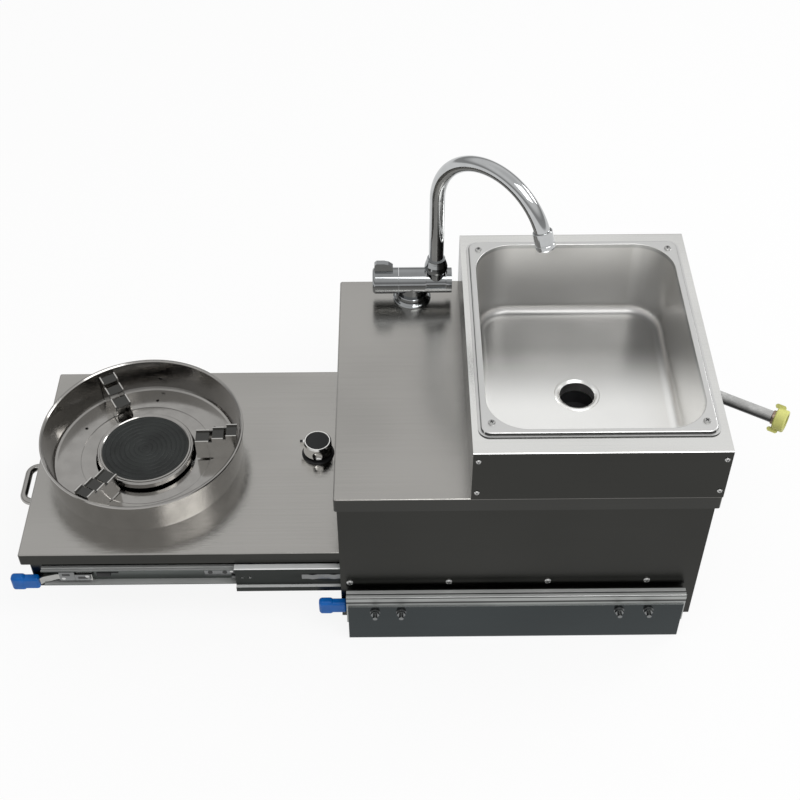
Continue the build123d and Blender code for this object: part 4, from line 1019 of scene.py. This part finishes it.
@dataclass
class Slides:
    """Both pairs of locking slides with their release levers and lock parts.

    Places along a rail count from its left end, depths from the face that a part is fixed to and
    heights from the rail's middle.
    """

    pairs: tuple[tuple[str, str, str], ...] = (
        ("cab", "cabinet", "ribbed_rail"),
        ("stove", "stove_drawer", "zinc_rail"),
    )
    web: float = 0.0018
    mid_step: float = 0.0044
    guard: tuple[float, float, float] = (0.022, 0.042, 0.062)
    guard_depth: tuple[float, float] = (0.0066, 0.0074)
    guard_low: float = -0.0062
    guard_tops: tuple[float, float] = (0.0108, 0.0056)
    guard_lip: float = 0.001
    guard_round: float = 0.0003
    guard_slots: tuple[tuple[tuple[float, float], tuple[float, float]], ...] = (
        ((0.026, 0.036), (0.0035, 0.0075)),
        ((0.046, 0.058), (-0.0025, 0.0015)),
    )
    latch_plate: tuple[float, float] = (0.209, 0.250)
    latch_half: float = 0.0066
    latch_thick: float = 0.0016
    latch_lip: tuple[float, float, float] = (0.006, 0.0034, 0.0022)
    latch_holes: tuple[float, float] = (0.217, 0.236)
    hole_radius: float = 0.0032
    hole_height: float = 0.001
    mark_depth: float = 0.0002
    rivets: tuple[tuple[float, float, float], ...] = (
        (0.027, 0.0074, -0.002),
        (0.058, 0.0074, 0.002),
        (0.245, 0.0016, 0.002),
    )
    rivet_head: tuple[tuple[float, float], ...] = (
        (0.0026, 0.0),
        (0.0023, 0.0003),
        (0.0014, 0.0005),
        (0.0, 0.0006),
    )
    bumper: tuple[float, float, float] = (0.070, 0.088, 0.098)
    bumper_depth: float = 0.0058
    bumper_heights: tuple[float, float] = (-0.001, 0.0072)
    bumper_round: float = 0.0014
    tail_depth: float = 0.003
    tail_heights: tuple[float, float] = (0.0022, 0.0046)
    tail_overlap: float = 0.002
    spring_place: tuple[float, float, float] = (0.044, 0.0032, 0.0098)
    spring_radius: float = 0.0024
    spring_wire: float = 0.00042
    spring_length: float = 0.021
    spring_pitch: float = 0.0015
    lock_spring: tuple[tuple[float, float], ...] = (
        (0.086, 0.0003),
        (0.094, 0.0003),
        (0.100, 0.0013),
        (0.107, 0.0003),
        (0.121, 0.0003),
        (0.128, 0.0013),
        (0.134, 0.0003),
        (0.143, 0.0003),
    )
    lock_spring_half: float = 0.0045
    lock_spring_height: float = 0.002
    lock_spring_thick: float = 0.0006

    def build(self, finishes: Finishes) -> None:
        """Dress the rails and levers and make the lock parts.

        Args:
            finishes: The kitchen's finishes.
        """
        for side in Side:
            for pair, carrier, outer in self.pairs:
                rails = (("outer", outer), ("mid", "runner_rail"), ("inner", "drawer_rail"))
                for rail, finish in rails:
                    dress(finishes[finish], f"{pair}_{rail}_{side.word}")
                dress(finishes["lock_steel"], f"{pair}_lever_{side.word}")
                dress(finishes["grip_blue"], f"{pair}_grip_{side.word}")
                self.lock_parts(finishes, side, pair, carrier)
                self.mid_spring(finishes, side, pair)

    @staticmethod
    def rail_end(node: str, side: Side, far: bool) -> tuple[float, float, float]:
        """Left end of a rail on one of its two upright faces, at half height.

        Args:
            node: Name of the rail.
            side: Side that the rail is on.
            far: True for the face on the moving wall, False for the one on the fixed wall.

        Returns:
            The point's X, Y and Z.
        """
        low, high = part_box(node)
        inward = side.value > 0
        return low.x, high.y if inward == far else low.y, (low.z + high.z) / 2

    def lock_parts(self, finishes: Finishes, side: Side, pair: str, carrier: str) -> None:
        """Make the lever guard, latch plate, return spring and bumper in an inner rail.

        Args:
            finishes: The kitchen's finishes.
            side: Side that the rail is on.
            pair: Pair of slides that the rail belongs to.
            carrier: Body that the rail rides on.
        """
        x0, wall, z = self.rail_end(f"{pair}_inner_{side.word}", side, True)
        out = -side.value
        seat = RailSeat(x0, wall + out * self.web, out, z)
        name = f"{pair}_{side.word}"
        plates = self.plates(seat)
        plates.piece(f"lock_plates_{name}", finishes["bolt_steel"], carrier, "zinc_rail")
        marks = self.slots_and_holes(seat)
        marks.piece(f"lock_slots_{name}", finishes["recess_dark"], carrier, "zinc_rail")
        fittings = self.rivets_and_spring(seat)
        fittings.piece(f"lock_fittings_{name}", finishes["screw_steel"], carrier, "zinc_rail")
        stop = self.stop_bumper(seat)
        stop.piece(f"stop_bumper_{name}", finishes["black_rubber"], carrier, "black_rubber")

    def plates(self, seat: RailSeat) -> Shape:
        """Make the guard over the lever's pivot and the latch plate.

        Args:
            seat: Where the plates sit.

        Returns:
            The shape of both plates.
        """
        plates = Shape()
        near, middle, far = self.guard
        back, _ = self.guard_depth
        high, low = self.guard_tops
        lip = (high - self.guard_lip, high)
        for along, deep, heights in (
            ((near, middle), self.guard_depth, (self.guard_low, high)),
            ((middle, far), self.guard_depth, (self.guard_low, low)),
            ((near, middle), (0.0, back), lip),
        ):
            seat.block(plates, along, deep, heights, self.guard_round)
        _, end = self.latch_plate
        half = self.latch_half
        front = self.latch_thick
        seat.block(plates, self.latch_plate, (0.0, front), (-half, half))
        long, deep, high = self.latch_lip
        seat.block(plates, (end - long, end), (front, front + deep), (-half, high - half))
        return plates

    def slots_and_holes(self, seat: RailSeat) -> Shape:
        """Make the dark holes of the latch plate and the dark slots of the guard, both painted
        shade.

        Args:
            seat: Where the plates sit.

        Returns:
            The shape of all holes and slots.
        """
        marks = Shape()
        deep, radius = self.mark_depth, self.hole_radius
        disc = ((0.0, deep), (radius, deep), (radius, 0.0))
        for along in self.latch_holes:
            marks.turned(disc, seat.outward(along, self.latch_thick, self.hole_height))
        _, face = self.guard_depth
        for along, heights in self.guard_slots:
            seat.block(marks, along, (face, face + deep), heights, 0.0)
        return marks

    def rivets_and_spring(self, seat: RailSeat) -> Shape:
        """Make the rivet heads of the plates and the lever's return spring.

        Args:
            seat: Where they sit.

        Returns:
            The shape of the heads and the spring.
        """
        fittings = Shape()
        for place in self.rivets:
            fittings.turned(self.rivet_head, seat.outward(*place))
        place = facing(seat.point(*self.spring_place), (1, 0, 0))
        turns = self.spring_length / self.spring_pitch
        return fittings.coil(self.spring_radius, self.spring_wire, self.spring_pitch, turns, place)

    def stop_bumper(self, seat: RailSeat) -> Shape:
        """Make the rubber bumper with its tail.

        Args:
            seat: Where the bumper sits.

        Returns:
            The shape of the bumper.
        """
        stop = Shape()
        start, end, tail = self.bumper
        deep = (0.0, self.bumper_depth)
        seat.block(stop, (start, end), deep, self.bumper_heights, self.bumper_round)
        seat.block(stop, (end - self.tail_overlap, tail), (0.0, self.tail_depth), self.tail_heights)
        return stop

    def mid_spring(self, finishes: Finishes, side: Side, pair: str) -> None:
        """Make the bent lock spring over a middle rail's two windows.

        Args:
            finishes: The kitchen's finishes.
            side: Side that the rail is on.
            pair: Pair of slides that the rail belongs to.
        """
        x0, edge, z = self.rail_end(f"{pair}_mid_{side.word}", side, False)
        inward = side.value
        web = edge + inward * self.mid_step
        low = z + self.lock_spring_height - self.lock_spring_half
        part = bmesh.new()
        verts = [
            part.verts.new((x0 + along, web - inward * lift, low))
            for along, lift in self.lock_spring
        ]
        edges = [part.edges.new(ends) for ends in zip(verts, verts[1:])]
        raised = bmesh.ops.extrude_edge_only(part, edges=edges)["geom"]
        tops = [item for item in raised if isinstance(item, bmesh.types.BMVert)]
        bmesh.ops.translate(part, vec=(0, 0, 2 * self.lock_spring_half), verts=tops)
        bmesh.ops.recalc_face_normals(part, faces=part.faces[:])
        bmesh.ops.solidify(part, geom=part.faces[:], thickness=self.lock_spring_thick)
        bmesh.ops.recalc_face_normals(part, faces=part.faces[:])
        name = f"lock_spring_{pair}_{side.word}"
        Shape().join(part).piece(name, finishes["bolt_steel"], f"{pair}_mid", "zinc_rail")


@dataclass
class SupplyHose:
    """Short supply hose with its ferrule and wing nut."""

    route: tuple[tuple[float, float, float], ...] = (
        (0.222, 0.0267, 0.228),
        (0.238, 0.0267, 0.228),
        (0.25056, 0.0267, 0.228),
        (0.26131, 0.02019, 0.228),
        (0.34257, -0.02902, 0.228),
    )
    radius: float = 0.008

    def build(self, finishes: Finishes) -> None:
        """Make the hose and dress what is on it.

        Args:
            finishes: The kitchen's finishes.
        """
        dress(finishes["black_rubber"], "hose_grommet")
        dress(finishes["dull_brass"], "hose_ferrule")
        dress(finishes["nut_yellow"], "hose_wing_nut")
        data = bpy.data.curves.new("grey_hose", "CURVE")
        data.dimensions = "3D"
        data.bevel_depth = self.radius
        data.bevel_resolution = 8
        data.use_fill_caps = True
        spline = data.splines.new("NURBS")
        spline.points.add(len(self.route) - 1)
        for knot, point in zip(spline.points, self.route):
            knot.co = (*point, 1.0)
        spline.order_u = 3
        spline.use_endpoint_u = True
        spline.resolution_u = 24
        data.materials.append(finishes["hose_grey"])
        hose = bpy.data.objects.new("grey_hose", data)
        bpy.context.scene.collection.objects.link(hose)
        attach(hose, "cabinet")
        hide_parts("supply_hose")
        LOG.info("piece grey_hose rides on cabinet")


@dataclass
class Studio:
    """Pale floor, soft light and the photograph's camera."""

    stands: tuple[float, float, float] = (-0.1552, -1.2332, 1.5081)
    pitch: float = 135.85
    yaw: float = -0.23
    roll: float = -0.49
    lens: float = 60.49
    sensor: float = 36.0
    lamps_aim: tuple[float, float, float] = (0.0, 0.0, 0.2)
    floor_half: float = 100.0
    floor_drop: float = 0.0003
    white_share: float = 0.88
    dome: tuple[tuple[float, float], ...] = (
        (0.0, 0.92),
        (0.03, 0.9),
        (0.11, 0.4),
        (0.3, 0.36),
        (0.55, 0.8),
        (0.8, 0.86),
        (1.0, 0.7),
    )

    def build(self) -> None:
        """Make the floor, the light and the camera."""
        scene = bpy.context.scene
        scene.view_settings.view_transform = "Standard"
        self.floor()
        self.sky(scene)
        self.lamp("key_lamp", stands=(0.5, -0.8, 2.2), long=1.4, wide=1.0, watts=16.0)
        self.lamp("side_lamp", stands=(1.7, 0.9, 1.5), long=0.9, wide=0.5, watts=9.0)
        self.camera(scene)

    def floor(self) -> None:
        """Make the pale floor, just clear of the base."""
        shape = bmesh.new()
        half = self.floor_half
        below = Matrix.Translation((0.0, 0.0, -self.floor_drop))
        bmesh.ops.create_grid(shape, x_segments=1, y_segments=1, size=half, matrix=below)
        data = bpy.data.meshes.new("floor")
        shape.to_mesh(data)
        shape.free()
        board = Board("pale_floor")
        board.set(Base_Color=(0.9, 0.9, 0.9), Roughness=0.9, Specular_IOR_Level=0.0)
        board.whiten(self.white_share)
        data.materials.append(board.material)
        floor = bpy.data.objects.new("floor", data)
        bpy.context.scene.collection.objects.link(floor)

    def sky(self, scene: bpy.types.Scene) -> None:
        """Light the scene from a soft dome, pale at the horizon and brighter overhead.

        Args:
            scene: Scene to light.
        """
        world = bpy.data.worlds.new("soft_dome")
        scene.world = world
        world.use_nodes = True
        tree = world.node_tree
        tree.nodes.clear()
        here = tree.nodes.new("ShaderNodeTexCoord")
        split = tree.nodes.new("ShaderNodeSeparateXYZ")
        ramp = tree.nodes.new("ShaderNodeValToRGB")
        glow = tree.nodes.new("ShaderNodeBackground")
        output = tree.nodes.new("ShaderNodeOutputWorld")
        stops = [(place, (grey, grey, grey)) for place, grey in self.dome]
        Board.set_stops(ramp.color_ramp, stops)
        tree.links.new(here.outputs["Generated"], split.inputs[0])
        tree.links.new(split.outputs["Z"], ramp.inputs[0])
        tree.links.new(ramp.outputs[0], glow.inputs["Color"])
        tree.links.new(glow.outputs[0], output.inputs["Surface"])
        glow.inputs["Strength"].default_value = 1.0

    def lamp(
        self, name: str, stands: Sequence[float], long: float, wide: float, watts: float
    ) -> None:
        """Add a soft box.

        Args:
            name: Name of the lamp.
            stands: Where it stands.
            long: Its long side.
            wide: Its short side.
            watts: Its power.
        """
        data = bpy.data.lights.new(name, "AREA")
        data.shape = "RECTANGLE"
        data.size = long
        data.size_y = wide
        data.energy = watts
        lamp = bpy.data.objects.new(name, data)
        lamp.matrix_world = facing(stands, Vector(stands) - Vector(self.lamps_aim))
        bpy.context.scene.collection.objects.link(lamp)

    def camera(self, scene: bpy.types.Scene) -> None:
        """Stand the camera where the photograph was taken.

        Args:
            scene: Scene that the camera looks at.
        """
        turn = (
            Matrix.Rotation(math.radians(self.roll), 3, "Z")
            @ Matrix.Rotation(math.radians(self.yaw), 3, "Y")
            @ Matrix.Rotation(math.radians(self.pitch), 3, "X")
        )
        data = bpy.data.cameras.new("camera")
        data.sensor_width = self.sensor
        data.lens = self.lens
        camera = bpy.data.objects.new("camera", data)
        axes = turn.transposed() @ Matrix.Diagonal((1.0, -1.0, -1.0))
        camera.matrix_world = Matrix.Translation(self.stands) @ axes.to_4x4()
        scene.collection.objects.link(camera)
        scene.camera = camera


def main() -> None:
    """Build the kitchen's looks in order."""
    logging.basicConfig(level=logging.INFO, format="%(name)s %(message)s")
    finishes = Finishes()
    Studio().build()
    for part in (SupplyHose(), Cabinet(), Tap(), StoveDrawer(), Slides()):
        part.build(finishes)


if __name__ == "__main__":
    main()
